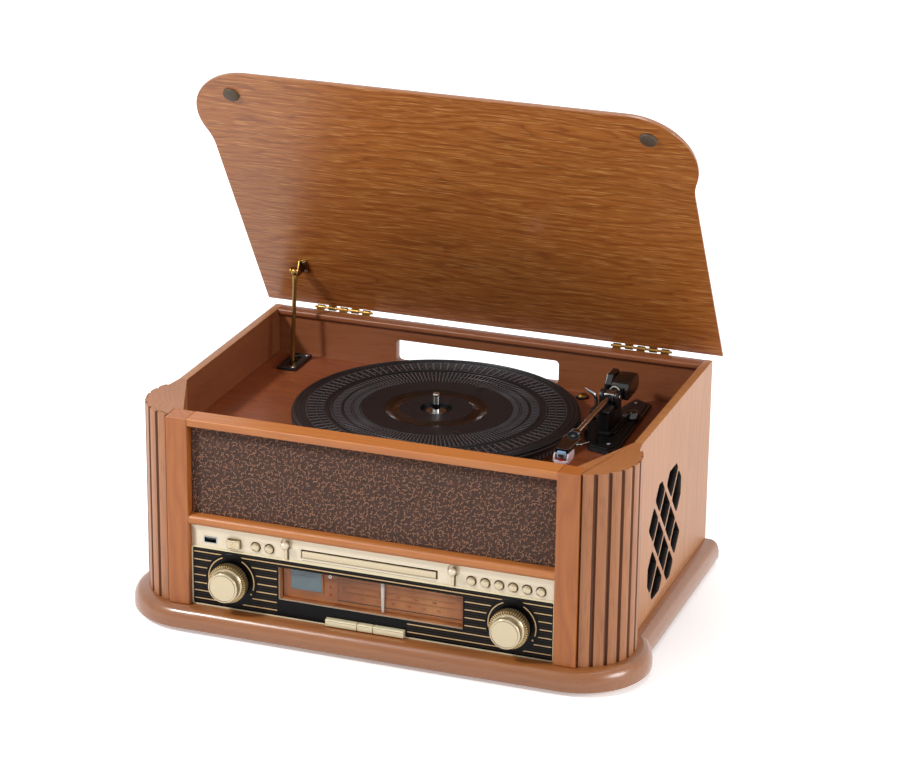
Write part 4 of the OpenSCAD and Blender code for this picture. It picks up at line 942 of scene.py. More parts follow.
# %% Cloth and strokes
GRILLE_FACE = 9.5
cloth_board = box("grille_board", (-174.5, GRILLE_FACE, RAIL_HIGH), (174.5, 12, 174.9), cloth,
                  0.7, 3)
dress(cloth_board, "cabinet", "grille", "grille_cloth")

stroke_tree, size, stroke_end = grow_tree(
    "scattered_strokes", Width=345.0, Height=82.0, Spacing=3.6, Curl=2.0, Thickness=0.5,
    Shift=(0.0, 0.0, 0.0), Seed=3, Finish=None)
across = add(stroke_tree, "ShaderNodeMath", {0: size["Width"], 1: size["Spacing"]},
             operation="DIVIDE").outputs[0]
down = sums(stroke_tree, "DIVIDE", size["Height"], size["Spacing"])
field = add(stroke_tree, "GeometryNodeMeshGrid",
            {"Size X": size["Width"], "Size Y": size["Height"], "Vertices X": across,
             "Vertices Y": down})
loose = add(stroke_tree, "FunctionNodeRandomValue", {"Seed": size["Seed"]},
            data_type="FLOAT_VECTOR")
loose.inputs[0].default_value, loose.inputs[1].default_value = (-1.5, -1.5, 0), (1.5, 1.5, 0)
spread = add(stroke_tree, "GeometryNodeSetPosition", {"Geometry": field.outputs[0],
                                                      "Offset": loose.outputs[0]})
curl = add(stroke_tree, "GeometryNodeCurveArc",
           {"Resolution": 6, "Radius": size["Curl"], "Sweep Angle": math.radians(165)})
round_yarn = add(stroke_tree, "GeometryNodeCurvePrimitiveCircle",
                 {"Resolution": 4, "Radius": size["Thickness"]})
yarn = add(stroke_tree, "GeometryNodeCurveToMesh", {"Curve": curl.outputs[0],
                                                    "Profile Curve": round_yarn.outputs[0],
                                                    "Fill Caps": True})
twist = add(stroke_tree, "FunctionNodeRandomValue", {"Seed": size["Seed"]},
            data_type="FLOAT_VECTOR")
twist.inputs[0].default_value, twist.inputs[1].default_value = (0, 0, 0), (0, 0, 6.283)
scale = add(stroke_tree, "FunctionNodeRandomValue", {"Seed": size["Seed"]}, data_type="FLOAT")
scale.inputs[2].default_value, scale.inputs[3].default_value = 0.55, 1.0
strokes = add(stroke_tree, "GeometryNodeInstanceOnPoints",
              {"Points": spread.outputs[0], "Instance": yarn.outputs[0],
               "Rotation": twist.outputs[0], "Scale": scale.outputs[1]})
stood = add(stroke_tree, "GeometryNodeTransform",
            {"Geometry": strokes.outputs[0], "Translation": size["Shift"],
             "Rotation": (math.pi / 2, 0, 0)})
end_tree(stroke_tree, stroke_end, stood.outputs[0], size["Finish"])

middle = (RAIL_HIGH + 175) / 2
light_yarn = grown("light_yarn", stroke_tree, Shift=(0.0, GRILLE_FACE - 0.05, middle),
                   Finish=stroke_yarn, Thickness=0.5, Curl=1.6)
# A dark copy of the strokes, shifted beside and behind them: a painted shadow.
shade_yarn = grown("shade_yarn", stroke_tree, Shift=(0.6, GRILLE_FACE + 0.1, middle - 0.7),
                   Finish=painted_shadow_yarn, Thickness=0.5, Curl=1.35)
yarns = joined("grille_strokes", [light_yarn, shade_yarn])
dress(yarns, "cabinet", "grille")

# %% [markdown]
# ## Control panel
# The panel is a moulded plate in two layers, so that a round recess behind each lever can be
# shallow while the other openings go right through. All openings are drawn once, in a list, from
# the places of the controls.

# %% Places of the controls
PANEL_X, PANEL_TOP, PANEL_FACE, PANEL_BACK = 174.5, 79.2, 6.0, 9.0
WINDOW = (-88.7, 17.7, 88.7, 49.6)
TRAY = (-65.3, 62.4, 63.1, 69.3)
POWER = (-138.2, 61.5, -125.6, 70.0)
SOCKET = (-162.1, 62.6, -149.1, 68.8)
BAND_EDGES = (-41.9, -10.9, 4.4, 34.3)
BAND_KEY = (1.2, 7.8)
BUTTON_Z, BUTTON_R = 65.8, 4.0
BUTTONS = {f"left_button_{k + 1}": x for k, x in enumerate((-110.8, -97.5))}
BUTTONS.update({f"right_button_{k + 1}": 96.1 + 13 * k for k in range(6)})
LEVERS = {"left_lever_key": -80.6, "right_lever_key": 79.3}
LEVER_Z, LEVER_R, LEVER_LOW = 73.5, 4.0, 59.0
KNOBS = {"volume_knob": -135.0, "tuning_knob": 135.0}
KNOB_Z = 29.5
FIELD_TOP = 57.0


def wider(rect, by):
    return (rect[0] - by, rect[1] - by, rect[2] + by, rect[3] + by)


# %% Panel and its black field
key_notch = (BAND_EDGES[0] - 0.3, BAND_KEY[0] - 0.3, BAND_EDGES[-1] + 0.3, BAND_KEY[1] + 0.4)
panel_holes = [rounded_rect(*WINDOW, 0.6), rounded_rect(*key_notch, 0.4),
               rounded_rect(TRAY[0] - 1.2, TRAY[1] - 0.4, TRAY[2] + 1.2, TRAY[3] + 1.1, 0.5),
               rounded_rect(*wider(POWER, 0.4), 1.2), rounded_rect(*wider(SOCKET, 0.2), 0.4)]
panel_holes += [circle(x, BUTTON_Z, BUTTON_R + 0.85) for x in BUTTONS.values()]
lever_slots = [rounded_rect(x - 1.9, LEVER_LOW - 0.3, x + 1.9, LEVER_Z, 0.4)
               for x in LEVERS.values()]
recesses = []
for x in LEVERS.values():
    half = math.degrees(math.asin(1.9 / 5.5))
    recesses.append([(x - 1.9, LEVER_LOW - 0.3), (x + 1.9, LEVER_LOW - 0.3)]
                    + arc((x, LEVER_Z), 5.5, -90 + half, 270 - half, 30))
panel_line = rounded_rect(-PANEL_X, 0.05, PANEL_X, PANEL_TOP, 1.2)
panel = joined("panel_plate", [
    plate("front", panel_line, panel_holes + recesses, PANEL_FACE, 8, champagne, UPRIGHT, 0.3),
    plate("rear", panel_line, panel_holes + lever_slots, 8, PANEL_BACK, champagne, UPRIGHT, 0.05),
    # The black sheet behind the tray slot and the black rings behind the button holes are painted
    # shade in the gaps.
    plate("slot_lining", rounded_rect(*wider(TRAY, 1.1), 0.5),
          [rounded_rect(*wider(TRAY, 0.2), 0.3)], 7.2, 8.8, panel_black_and_shade, UPRIGHT, 0.05),
    *[turned("lining", [(4.15, 7.0), (4.8, 7.0), (4.8, 8.8), (4.15, 8.8)], panel_black_and_shade,
             (x, 0, BUTTON_Z), "Y", 32) for x in BUTTONS.values()],
    box("groove", (TRAY[0], 5.93, 59.9), (TRAY[2], 6.1, 60.15), dim_print, 0)])
dress(panel, "cabinet", "panel_champagne", "control_panel")

field = joined("panel_field", [
    plate("field", rounded_rect(-173.2, 1.0, 173.2, FIELD_TOP, 1.8),
          [rounded_rect(*wider(WINDOW, -0.05), 0.6), rounded_rect(*key_notch, 0.3)],
          5.75, 6.1, panel_black_and_shade, UPRIGHT, 0.05),
    plate("border", rounded_rect(-174.4, 0.15, 174.4, FIELD_TOP + 1.6, 2.6),
          [rounded_rect(-173.0, 1.35, 173.0, FIELD_TOP, 1.6)], 5.0, 6.2, cream_line,
          UPRIGHT, 0.25)])
dress(field, "cabinet", "black_gloss")

# %% [markdown]
# The black field carries printed lines: a broad one and two thin ones, again and again. The row
# tree draws them: three families with the same step, each in the four stretches that the window
# and the keys leave free.

# %% Printed lines
LINE_STEP, LINE_FIRST = 7.7, 6.5
stripes = []
for shift, height in ((0, 0.95), (LINE_STEP / 3, 0.4), (-LINE_STEP / 3, 0.4)):
    low = LINE_FIRST + shift
    above = low + LINE_STEP * math.ceil((WINDOW[3] - low) / LINE_STEP)
    for x0, x1, first, last in ((-172, -90.4, low, 57), (90.4, 172, low, 57),
                                (-90.4, 90.4, above, 57), (36, 90.4, low, 17.4)):
        count = max(0, math.ceil((last - height - first) / LINE_STEP))
        if count:
            stripes.append(grown("lines", row_tree, Count=count, Start=((x0 + x1) / 2, 5.7, first),
                                 Step=(0.0, 0.0, LINE_STEP), Block=(x1 - x0, 0.12, height),
                                 Finish=gold_print if shift == 0 else dim_print))
printed = joined("printed_lines", stripes)
dress(printed, "cabinet", "panel_champagne")

# %% [markdown]
# ## Knobs and buttons
# A knob is one turned profile: a wide skirt, a step and a tall cap with a fine groove near its
# edge. The ring tree sets forty-eight ribs round the skirt. Behind each knob lies a black disc
# with a gold arc on either side of the gap at its top.


# %% Discs behind the knobs
def ring_part(name, x, radius, width, start, end, y, finish):
    outer = arc((x, KNOB_Z), radius + width / 2, start, end, 24)
    inner = arc((x, KNOB_Z), radius - width / 2, end, start, 24)
    return plate(name, outer + inner, [], y, y + 0.2, finish, UPRIGHT, 0.04)


discs = []
for x in KNOBS.values():
    discs.append(turned("disc", [(4, 6.05), (25.4, 6.05), (25.4, 5.3), (25.1, 5.0), (4, 5.0)],
                        panel_black_and_shade, (x, 0, KNOB_Z), "Y", 96))
    discs.append(ring_part("arc", x, 22.4, 1.0, 112, 192, 4.88, gold_print))
    discs.append(ring_part("arc", x, 22.4, 1.0, 62, -18, 4.88, gold_print))
    turn = math.radians(-30)
    discs.append(plate("dot", circle(x + 22.4 * math.cos(turn), KNOB_Z + 22.4 * math.sin(turn), 0.9,
                                     16), [], 4.88, 5.08, gold_print, UPRIGHT, 0.04))
escutcheons = joined("knob_discs", discs)
dress(escutcheons, "cabinet", "black_gloss", "knob_escutcheons")

# %% Knobs
skirt = [(5, 4.4), (17.0, 4.4), (17.1, 3.9), (17.1, -2.4), (16.0, -4.6), (15.4, -5.4), (5, -5.4)]
cap = ([(5, -5.3), (15.4, -5.3), (15.6, -5.8), (15.6, -6.6), (15.3, -7.1), (14.7, -7.3),
        (14.2, -7.6), (14.2, -8.6), (14.5, -9.0), (14.5, -14.2)]
       + arc((13.3, -14.3), 1.2, 0, -90, 6)[1:]
       + [(12.9, -15.5), (12.75, -14.8), (12.35, -14.8), (12.2, -15.4), (0, -15.3)])
for name, x in KNOBS.items():
    here = CAB @ Matrix.Translation((x, 0, KNOB_Z)) @ Matrix.Rotation(-math.pi / 2, 4, "X")
    # The skirt under the ribs is black, as painted shade between the ribs.
    parts = [turned("skirt", skirt, satin_black_and_shade, (x, 0, KNOB_Z), "Y", 96),
             turned("cap", [(0, -5.9)] + cap, champagne_knob, (x, 0, KNOB_Z), "Y", 96, crease=24),
             grown("ribs", ring_tree, here, Count=48, Radius=16.9, Height=-1.9,
                   Block=(2.5, 1.15, 7.2), Finish=brass_rib)]
    if name == "volume_knob":
        parts.append(turned("dot", [(0, -15.2), (0.8, -15.2), (0.7, -15.5), (0, -15.5)], ivory,
                            (x - 8.5, 0, KNOB_Z - 0.5), "Y", 20))
    dress(joined(name + "_turned", parts), name, "button_champagne", name)

# %% Round buttons and levers
dome = ([(0, 9.4), (BUTTON_R - 0.1, 9.4), (BUTTON_R, 9.2), (BUTTON_R, 4.3)]
        + [(BUTTON_R * math.cos(a), 4.3 - 1.15 * math.sin(a))
           for a in (0.35, 0.7, 1.0, 1.25)] + [(0, 3.15)])
for name, x in BUTTONS.items():
    dress(turned(name + "_dome", dome, champagne_knob, (x, 0, BUTTON_Z), "Y", 40), name,
          "button_champagne", name)
ball = [(LEVER_R * math.sin(math.pi * k / 16), 1.5 + LEVER_R * math.cos(math.pi * k / 16))
        for k in range(17)]
for name, x in LEVERS.items():
    lever = joined(name + "_ball", [
        turned("ball", ball, champagne, (x, 0, LEVER_Z), "Y", 32),
        turned("neck", [(0, 9), (2.4, 9), (2.0, 4.2), (0, 4.2)], champagne_knob, (x, 0, LEVER_Z),
               "Y", 24),
        box("stem", (x - 1.3, 3.6, LEVER_LOW), (x + 1.3, 8.6, LEVER_Z - 2), champagne_knob,
            0.5, 3)])
    dress(lever, name, "button_champagne", name)

# %% Power button, band keys and data socket
low_x, low_z, high_x, high_z = POWER
mid_x, mid_z = (low_x + high_x) / 2, (low_z + high_z) / 2 - 0.4
sign = [plate("ring", arc((mid_x, mid_z), 2.1, 125, 415, 24)
              + arc((mid_x, mid_z), 1.6, 415, 125, 24), [], 1.86, 2.1, gold_print, UPRIGHT, 0.03),
        box("bar", (mid_x - 0.25, 1.86, mid_z + 0.4), (mid_x + 0.25, 2.1, mid_z + 2.6),
            gold_print, 0)]
power = joined("power_key", [
    box("key", (low_x, 2.0, low_z), (high_x, 9, high_z), champagne_knob, 1.1, 4),
    box("brow", (low_x + 0.2, 1.7, high_z - 1.5), (high_x - 0.2, 5, high_z), champagne_knob,
        0.5, 3),
    *sign])
dress(power, "power_button", "button_champagne", "power_button")
for k, (x0, x1) in enumerate(zip(BAND_EDGES, BAND_EDGES[1:])):
    key = joined(f"band_key_{k + 1}_bar", [
        box("bar", (x0 + 0.35, 1.0, BAND_KEY[0]), (x1 - 0.35, 9, BAND_KEY[1]), cream_line, 0.6, 3),
        box("line", (x0 + 1, 0.96, BAND_KEY[1] - 1.5), (x1 - 1, 1.2, BAND_KEY[1] - 1.25),
            dim_print, 0)])
    dress(key, f"band_key_{k + 1}", "button_champagne", f"band_key_{k + 1}")
x0, z0, x1, z1 = SOCKET
socket = joined("data_socket_shell", [
    plate("shell", rounded_rect(x0, z0, x1, z1, 0.4),
          [rounded_rect(*wider((x0, z0, x1, z1), -0.7), 0.3)], 5.95, 19.4, bright_steel, UPRIGHT,
          0.1),
    box("back", (x0 + 0.5, 19.0, z0 + 0.5), (x1 - 0.5, 19.6, z1 - 0.5), satin_black_and_shade, 0.1),
    box("tongue", (x0 + 1.3, 7.6, z0 + 2.9), (x1 - 1.3, 19.2, z0 + 4.6), moulded_black, 0.2)])
dress(socket, "cabinet", "steel", "data_socket")

# %% Disc tray
TRAY_L, TRAY_HALF, DISC_R, DISC_Y, HUB_R = 150.0, 59.0, 60.5, 73.0, 18
x0, z0, x1, z1 = TRAY
tray_x = (x0 + x1) / 2
recess = circle(tray_x, DISC_Y, DISC_R, 72)
tray_line = [(tray_x - TRAY_HALF, 8.4), (tray_x + TRAY_HALF, 8.4),
             (tray_x + TRAY_HALF, 8.5 + TRAY_L), (tray_x - TRAY_HALF, 8.5 + TRAY_L)]
window = ([(tray_x - HUB_R, DISC_Y)] + arc((tray_x, DISC_Y), HUB_R, 180, 360, 24)
          + [(tray_x + HUB_R, DISC_Y + 48), (tray_x - HUB_R, DISC_Y + 48)])
edge_low = z0 + 0.75
tray = joined("tray_with_recess", [
    box("front", (x0, 5.0, edge_low), (x1, 8.6, z1), champagne_knob, 0.45, 3),
    box("lip", (x0, 5.5, z0), (x1, 8.6, edge_low - 0.15), champagne_knob, 0.2),
    plate("floor", tray_line, [window], 62.9, 65.9, satin_black_and_shade, edge=0.1),
    plate("rim", tray_line, [recess], 65.8, 67.9, satin_black_and_shade, edge=0.2)])
dress(tray, "disc_tray", "button_champagne", "disc_tray")

# %% [markdown]
# ## Dial
# Behind the window lies a brown foil with the printed scales. Its marks lie a tenth of a
# millimetre before it. Ticks are rows, and the numbers are plain band figures at even steps.

# %% Dial foil, display and lamps
FOIL_Y, PRINT_Y = 12.5, 12.42
foil = box("foil", (-87.1, FOIL_Y, 19.3), (87.1, 12.97, 48.0), dial_foil, 0)
lower = box("lower_band", (-87, PRINT_Y + 0.02, 19.4), (87, FOIL_Y, 21.9), rail_oak_and_top_highlight, 0)
lines = [box("line", (x0, PRINT_Y, z), (x1, FOIL_Y, z + h), ink, 0)
         for x0, x1, z, h in ((-33, 86.6, 22.7, 0.9), (-33, 86.6, 32.6, 0.22),
                              (-33, 86.6, 38.2, 0.22),
                              (-33, 86.6, 43.6, 0.22), (-33, 86.6, 46.2, 0.3),
                              (-33.2, -32.9, 19.5, 27), (-87, 87, 47.2, 0.9),
                              (-87, -86.2, 19.4, 28.6))]
scales = [(38.2, -1.7, 2.2, 0.8, (-27.5, 17.3), (88, 92, 96, 100, 104, 108), 34.3),
          (32.6, -1.5, 1.55, 0.6, (-24.0, 14.6), (53, 60, 72, 90, 110, 135, 160), 27.0)]
marks = []
for z, drop, step, wide, (first, gap), figures, text_z in scales:
    for share, long, each in ((1, drop, step), (1.35, drop * 1.5, step * 5)):
        count = int(108 / each)
        marks.append(grown("ticks", row_tree, Count=count, Step=(each, 0.0, 0.0), Finish=ink,
                           Start=(-28.0, FOIL_Y - 0.04, z + long / 2),
                           Block=(0.28 * share, 0.08, abs(long))))
    for k, figure in enumerate(figures):
        word = bpy.data.curves.new("figure", "FONT")
        word.body, word.size, word.extrude, word.align_x = str(figure), 3.0, 0.03, "CENTER"
        holder = bpy.data.objects.new("figure", word)
        bpy.context.scene.collection.objects.link(holder)
        shape = bmesh.new()
        flat = bpy.data.meshes.new_from_object(
            holder.evaluated_get(bpy.context.evaluated_depsgraph_get()))
        bpy.data.objects.remove(holder)
        shape.from_mesh(flat)
        stand = (Matrix.Translation((first + gap * k, FOIL_Y - 0.04, text_z))
                 @ Matrix.Rotation(math.pi / 2, 4, "X"))
        marks.append(settle("figure", shape, ink, CAB @ stand))
LCD = (-79.2, 27.9, -48.6, 46.9)
display = [plate("frame", rounded_rect(*wider(LCD, 1.3), 0.8), [rounded_rect(*LCD, 0.3)],
                 11.2, 12.6, dial_foil, UPRIGHT, 0.15),
           box("pane", (LCD[0], 11.9, LCD[1]), (LCD[2], 12.5, LCD[3]), lcd_pane, 0)]
lamps = [turned("lamp", [(0, 12.5), (1.05, 12.5), (1.0, 11.9), (0.6, 11.5), (0, 11.4)], glow,
                (-40.6, 0, z), "Y", 24)
         for z, glow in ((45.2, gloss_black), (34.6, red_lamp), (27.4, red_lamp))]
sensor = turned("sensor", [(0.7, 12.5), (1.7, 12.5), (1.6, 11.7), (0.8, 11.7)], chrome,
                (-40.6, 0, 45.2), "Y", 24)
dial = joined("dial_print", [foil, lower, *lines, *marks, *display, *lamps, sensor])
dress(dial, "cabinet", "dial_amber", "lcd_module")

# %% Pointer
pointer = joined("pointer_blade", [
    prism("blade", [(8.7, 48.0), (12.2, 48.0), (11.8, 19.2), (9.6, 19.2)], 10.2, 11.2, ivory,
          UPRIGHT, 0.2),
    box("ridge", (10.55, 9.9, 19.4), (11.05, 10.4, 47.8), ivory, 0.15)])
dress(pointer, "dial_pointer", "pointer_clear", "dial_pointer")

# %% [markdown]
# ## Turntable
# The platter is turned like the real one. Its mat is a turned profile too, with a glossy dished
# ring for the label and a smooth groove, and ring trees set the raised dashes and dots on its
# face. All of it turns together, so it rides on the turntable.

# %% Platter and mat
SPINDLE = (0, 175, 0)
MAT_TOP, MAT_LOW, BUMPS_R = 156.0, 153.0, 67
here = CAB @ Matrix.Translation(SPINDLE)
rim = [(3.7, 152.9), (134.4, 152.9), (135, 152.3), (135, 148.7), (134.2, 148.1), (134.2, 143.5),
       (133.7, 143), (130.5, 143), (130.5, 148), (66, 148), (66, 143.1), (62, 143.1), (62, 148),
       (13, 148), (13, 141.5), (3.7, 141.5)]
# The dots on the platter's rim take the lighter grey of the mat's marks: a painted highlight.
platter = joined("platter_turned", [
    turned("rim", rim, moulded_black, SPINDLE, steps=180),
    *[grown("dots", ring_tree, here, Count=168, Radius=134.25, Height=z, Lean=lean,
            Block=(0.8, 2.9, 1.5), Finish=mat_raised_highlight)
      for z, lean in ((144.9, 0.0), (147.1, 0.0187))]])
dress(platter, "turntable", "black_matte", "platter")

low = MAT_TOP - 0.45
face = [(14.9, MAT_LOW), (14.9, 155.6), (15.4, MAT_TOP), (33.8, MAT_TOP), (34.5, 155.5),
        (36, 155.0),
        (41, 153.5), (46, 155.0), (47.8, 155.5), (48.5, MAT_TOP), (70.0, MAT_TOP), (70.5, low),
        (86.6, low), (86.9, MAT_TOP), (87.5, MAT_TOP), (87.8, low), (97.2, low), (97.5, MAT_TOP),
        (98.2, 155.4), (100.3, 155.1), (102.4, 155.4), (103.1, MAT_TOP), (103.5, low), (126.6, low),
        (127.0, MAT_TOP), (127.9, MAT_TOP), (128.2, low), (130.4, low), (130.7, MAT_TOP),
        (131.6, MAT_TOP), (132.0, 155.6), (133.4, 155.5), (134, 155.0), (134, MAT_LOW)]
bands = [(100, 112.3, 120.3, 1.5, 0), (100, 104.4, 110.6, 1.3, 0.5), (150, 88.6, 96.4, 1.1, 0),
         (150, 79.9, 85.9, 1.0, 0.5), (150, 71.6, 77.0, 0.9, 0)]
dots = [(200, 121.4, 1.7), (200, 111.5, 1.5), (170, 78.4, 1.2)]
# The raised dashes and dots take the lighter grey: a painted highlight.
ribs = [grown("dashes", ring_tree, here, Count=count, Radius=(r0 + r1) / 2, Height=low + 0.05,
              Lean=2 * math.pi * lean / count, Block=(r1 - r0, wide, 0.8), Finish=mat_raised_highlight)
        for count, r0, r1, wide, lean in bands]
ribs += [grown("dots", ring_tree, here, Count=count, Radius=r, Height=low + 0.05,
               Block=(0.8, long, 0.8), Finish=mat_raised_highlight) for count, r, long in dots]
bumps = [turned("bump", [(0, 156.9), (2.6, 156.8), (4.2, 156.4), (4.8, 155.9), (0, 155.9)],
                mat_rubber, (x, y, 0), steps=32)
        for x, y in (arc(SPINDLE[:2], BUMPS_R, a, a + 1, 1)[0] for a in (177, 72, -55))]
dish = turned("dish", [(34.2, 155.9), (36, 155.3), (38.5, 154.2), (41, 153.8), (43.5, 154.2),
                       (46, 155.3), (48.1, 155.9), (46, 155.1), (41, 153.65), (36, 155.1)],
              gloss_black, SPINDLE, steps=180)
mat = joined("slip_mat_ribbed", [turned("mat", face, mat_rubber, SPINDLE, steps=180, crease=20),
                                 dish, *ribs, *bumps])
dress(mat, "turntable", "mat_rubber", "slip_mat")

pin = joined("spindle_pin", [
    turned("pin", [(0, 110), (3.55, 110), (3.55, 168.2), (3.35, 169.6), (2.5, 170.6), (1.2, 171),
                   (0, 171)], chrome, SPINDLE, steps=48),
    turned("hub", [(3.5, 152.9), (9.6, 152.9), (9.4, 153.6), (6, 153.9), (3.5, 153.9)],
           bright_steel, SPINDLE)])
dress(pin, "turntable", "steel", "spindle")

# %% [markdown]
# ## Tonearm
# The arm lies along its own line, so its pieces are drawn from the pivot. Every part rides on the
# body that carries it: the base on the cabinet, the yoke on the swivel, and the tube with its
# shell, cartridge and weight on the arm itself.

# %% Arm base and yoke
PIVOT_X, PIVOT_Y, ARM_Z = 152.0, 230.0, 169.5
TUBE_R, CHEEK_R = 2.6, 6.4
ARM = CAB @ Matrix.Translation((PIVOT_X, PIVOT_Y, 0))
base_line = [(-1, -64), (20, -69), (26.5, -57), (22, 64), (4, 74), (-18, -23)]
base_steps = [prism("plinth", base_line, DECK + 0.05, 141.8, moulded_black, edge=1.0, where=ARM),
              prism("top", [(x * 0.86 + 0.3, y * 0.93) for x, y in base_line], 141.5, 143.0,
                    satin_black_and_shade, edge=0.6, where=ARM)]
tower = [prism("tower", rounded_rect(-10, -33, 9, -14, 2.2, 4), 142, 166.3, moulded_black, edge=0.9,
               where=ARM),
         prism("block", rounded_rect(-10, -15, 9, 8.5, 2.2, 4), 142, 160, moulded_black, edge=0.9,
               where=ARM),
         prism("shoe", rounded_rect(-13, -36, 12, 11, 3, 4), 142.5, 147, satin_black_and_shade, edge=1.2,
               where=ARM)]
ridges = [box("ridge", (9.0, -31 + 2.6 * k, 147), (9.7, -30 + 2.6 * k, 164.5), satin_black_and_shade, 0.3,
              where=ARM) for k in range(6)]
steps = [box("step", (11.5, -30, 142 + 2.2 * k), (17 - 2 * k, 8, 143.9 + 2.2 * k), satin_black_and_shade, 0.5,
             where=ARM) for k in range(3)]
prong = [box("post", (-4, -57, 142), (5, -51, ARM_Z - 3.0), moulded_black, 0.7, 3, where=ARM),
         box("clip", (TUBE_R + 0.5, -57, ARM_Z - 3.6), (TUBE_R + 2.4, -51, ARM_Z + 1),
             moulded_black, 0.6, 3, where=ARM)]
screws = [turned("screw", [(0, 144.0), (1.6, 144.0), (2.1, 143.5), (2.1, 142.9), (0, 142.9)],
                 bright_steel, (x, y, 0), steps=24, where=ARM) for x, y in ((15, -52), (-11, -24),
                                                                           (8, 58))]
axle = turned("axle", [(0, -14.2), (1.5, -14.2), (1.5, -9.5), (0, -9.5)], bright_steel,
              (0, -3, 154.3), "X", 24, where=ARM)
arm_base = joined("arm_base_tower", base_steps + tower + ridges + steps + prong + screws + [axle])
dress(arm_base, "cabinet", "black_matte", "arm_base")

cheek_line = [(-CHEEK_R, 160.4), (CHEEK_R, 160.4)] + arc((0, ARM_Z), CHEEK_R, 0, 180, 10)
cheeks = [prism("cheek", cheek_line, *sorted((s * 5.2, s * 9.2)), moulded_black, SIDEWAYS, 0.7,
                where=ARM) for s in (-1, 1)]
caps = [turned("cap", [(0, s * 9.1), (2.6, s * 9.1), (2.4, s * 9.9), (0, s * 9.9)], bright_steel,
               (0, 0, ARM_Z), "X", 32, where=ARM) for s in (-1, 1)]
bridge = box("bridge", (-9.1, -6.3, 160.35), (9.1, 6.3, 163.4), moulded_black, 0.7, 3, where=ARM)
stem = turned("stem", [(0, 161), (4, 161), (4, 145.2), (0, 145.2)], bright_steel, where=ARM)
dress(joined("arm_yoke_fork", cheeks + caps + [bridge, stem]), "arm_swivel", "black_matte",
      "arm_yoke")

# %% Tube, headshell, cartridge and weight
SHELL_FRONT, SHELL_BACK = -146.0, -106.0
tube = joined("arm_tube_polished", [
    turned("tube", [(0, SHELL_BACK - 7.5), (TUBE_R, SHELL_BACK - 7.5), (TUBE_R, 15.8), (0, 15.8)],
           chrome, (0, 0, ARM_Z), "Y", 48, where=ARM),
    box("block", (-4.9, -6, ARM_Z - 4.5), (4.9, 6, ARM_Z + 4.5), bright_steel, 1.2, 3, where=ARM),
    turned("collar", [(0, -9.5), (3.9, -9.5), (4.2, -9), (4.2, -7), (0, -7)], satin_black_and_shade,
           (0, 0, ARM_Z), "Y", 40, where=ARM)])
dress(tube, "tonearm", "steel", "arm_tube")

shell_line = [(-6.2, SHELL_FRONT), (6.2, SHELL_FRONT), (7.6, -126), (8.5, -114), (5.4, SHELL_BACK),
              (-5.4, SHELL_BACK), (-8.5, -114), (-7.6, -126)]
shell = joined("headshell_wedge", [
    prism("shell", shell_line, 166.0, 171.0, gloss_black, edge=1.1, where=ARM),
    turned("socket", [(0, -112), (5.6, -112), (5.8, -111), (5.8, -104.8), (5.2, -103.6),
                      (0, -103.6)],
           gloss_black, (0, 0, ARM_Z), "Y", 40, where=ARM),
    turned("band", [(5.7, -112.4), (6.0, -112.4), (6.0, -111.6), (5.7, -111.6)], bright_steel,
           (0, 0, ARM_Z), "Y", 40, where=ARM),
    prism("lift", [(6.5, -129), (12, -126.6), (17, -118.5), (16.2, -117.6), (10.5, -119),
                   (6.5, -122)],
          167.9, 169.1, gloss_black, edge=0.4, where=ARM),
    wire("lift_edge", [(8, -128.4, 169.3), (12, -126.8, 169.4), (17, -118.5, 169.6)], 0.35, chrome,
         ARM),
    wire("shell_edge", [(8.4, -116, 170.7), (7.7, -126, 170.7), (6.3, -145.2, 170.7)], 0.22,
         bright_steel, ARM)])
dress(shell, "tonearm", "black_gloss", "headshell")

guard_line = [(-149, 159.2), (-147.2, 157.3), (-133.5, 157.3), (-130.6, 160.2), (-129.8, 164.6),
              (-131.5, 166.2), (-146.5, 166.2), (-149, 163.6)]
guards = [prism("guard", guard_line, *sorted((s * 5.6, s * 7)), guard_shell, SIDEWAYS, 0.4,
                where=ARM) for s in (-1, 1)]
cartridge = joined("cartridge_and_guard", guards + [
    box("front", (-6, -149, 157.4), (6, -147, 160.2), guard_shell, 0.5, where=ARM),
    box("roof", (-6, -146, 165.0), (6, -131, 166.3), guard_shell, 0.4, where=ARM),
    box("body", (-4.2, -147.4, 161.6), (4.2, -128, 168.6), pale_blue, 1.0, 3, where=ARM),
    box("nose", (-2.6, -148.2, 162.4), (2.6, -146.6, 166.4), bright_steel, 0.5, where=ARM),
    box("stylus", (-1.9, -148.9, 158.6), (1.9, -141, 160.6), red_tip, 0.4, where=ARM),
    box("joint", (-1.5, -146, 160.3), (1.5, -140, 162), gloss_black, 0.3, where=ARM)])
dress(cartridge, "tonearm", "cartridge_white", "cartridge")

side_line = [(16.4, 161.5), (19, 160), (46, 160), (51.8, 164), (51.8, 173.5), (48, 177.6),
             (24, 178.8), (18.5, 176), (16.4, 172)]
fin_line = [(20, 160.5), (49, 160.5), (51.6, 163), (51.2, 176), (45, 180.3), (27, 180.3), (20, 173)]
weight = joined("counterweight_block", [
    prism("block", side_line, -5.0, 12.5, gloss_black, SIDEWAYS, 1.8, where=ARM),
    prism("fin", fin_line, -12.5, -5.6, gloss_black, SIDEWAYS, 1.0, where=ARM),
    turned("neck", [(0, 10), (3.6, 10), (4.4, 12), (4.4, 17), (0, 17)], satin_black_and_shade, (0, 0, ARM_Z),
           "Y", 40, where=ARM),
    turned("scale", [(4.3, 13.0), (5.0, 13.0), (5.0, 13.8), (4.3, 13.8)], ivory, (0, 0, ARM_Z), "Y",
           40, where=ARM)])
dress(weight, "tonearm", "black_gloss", "counterweight")

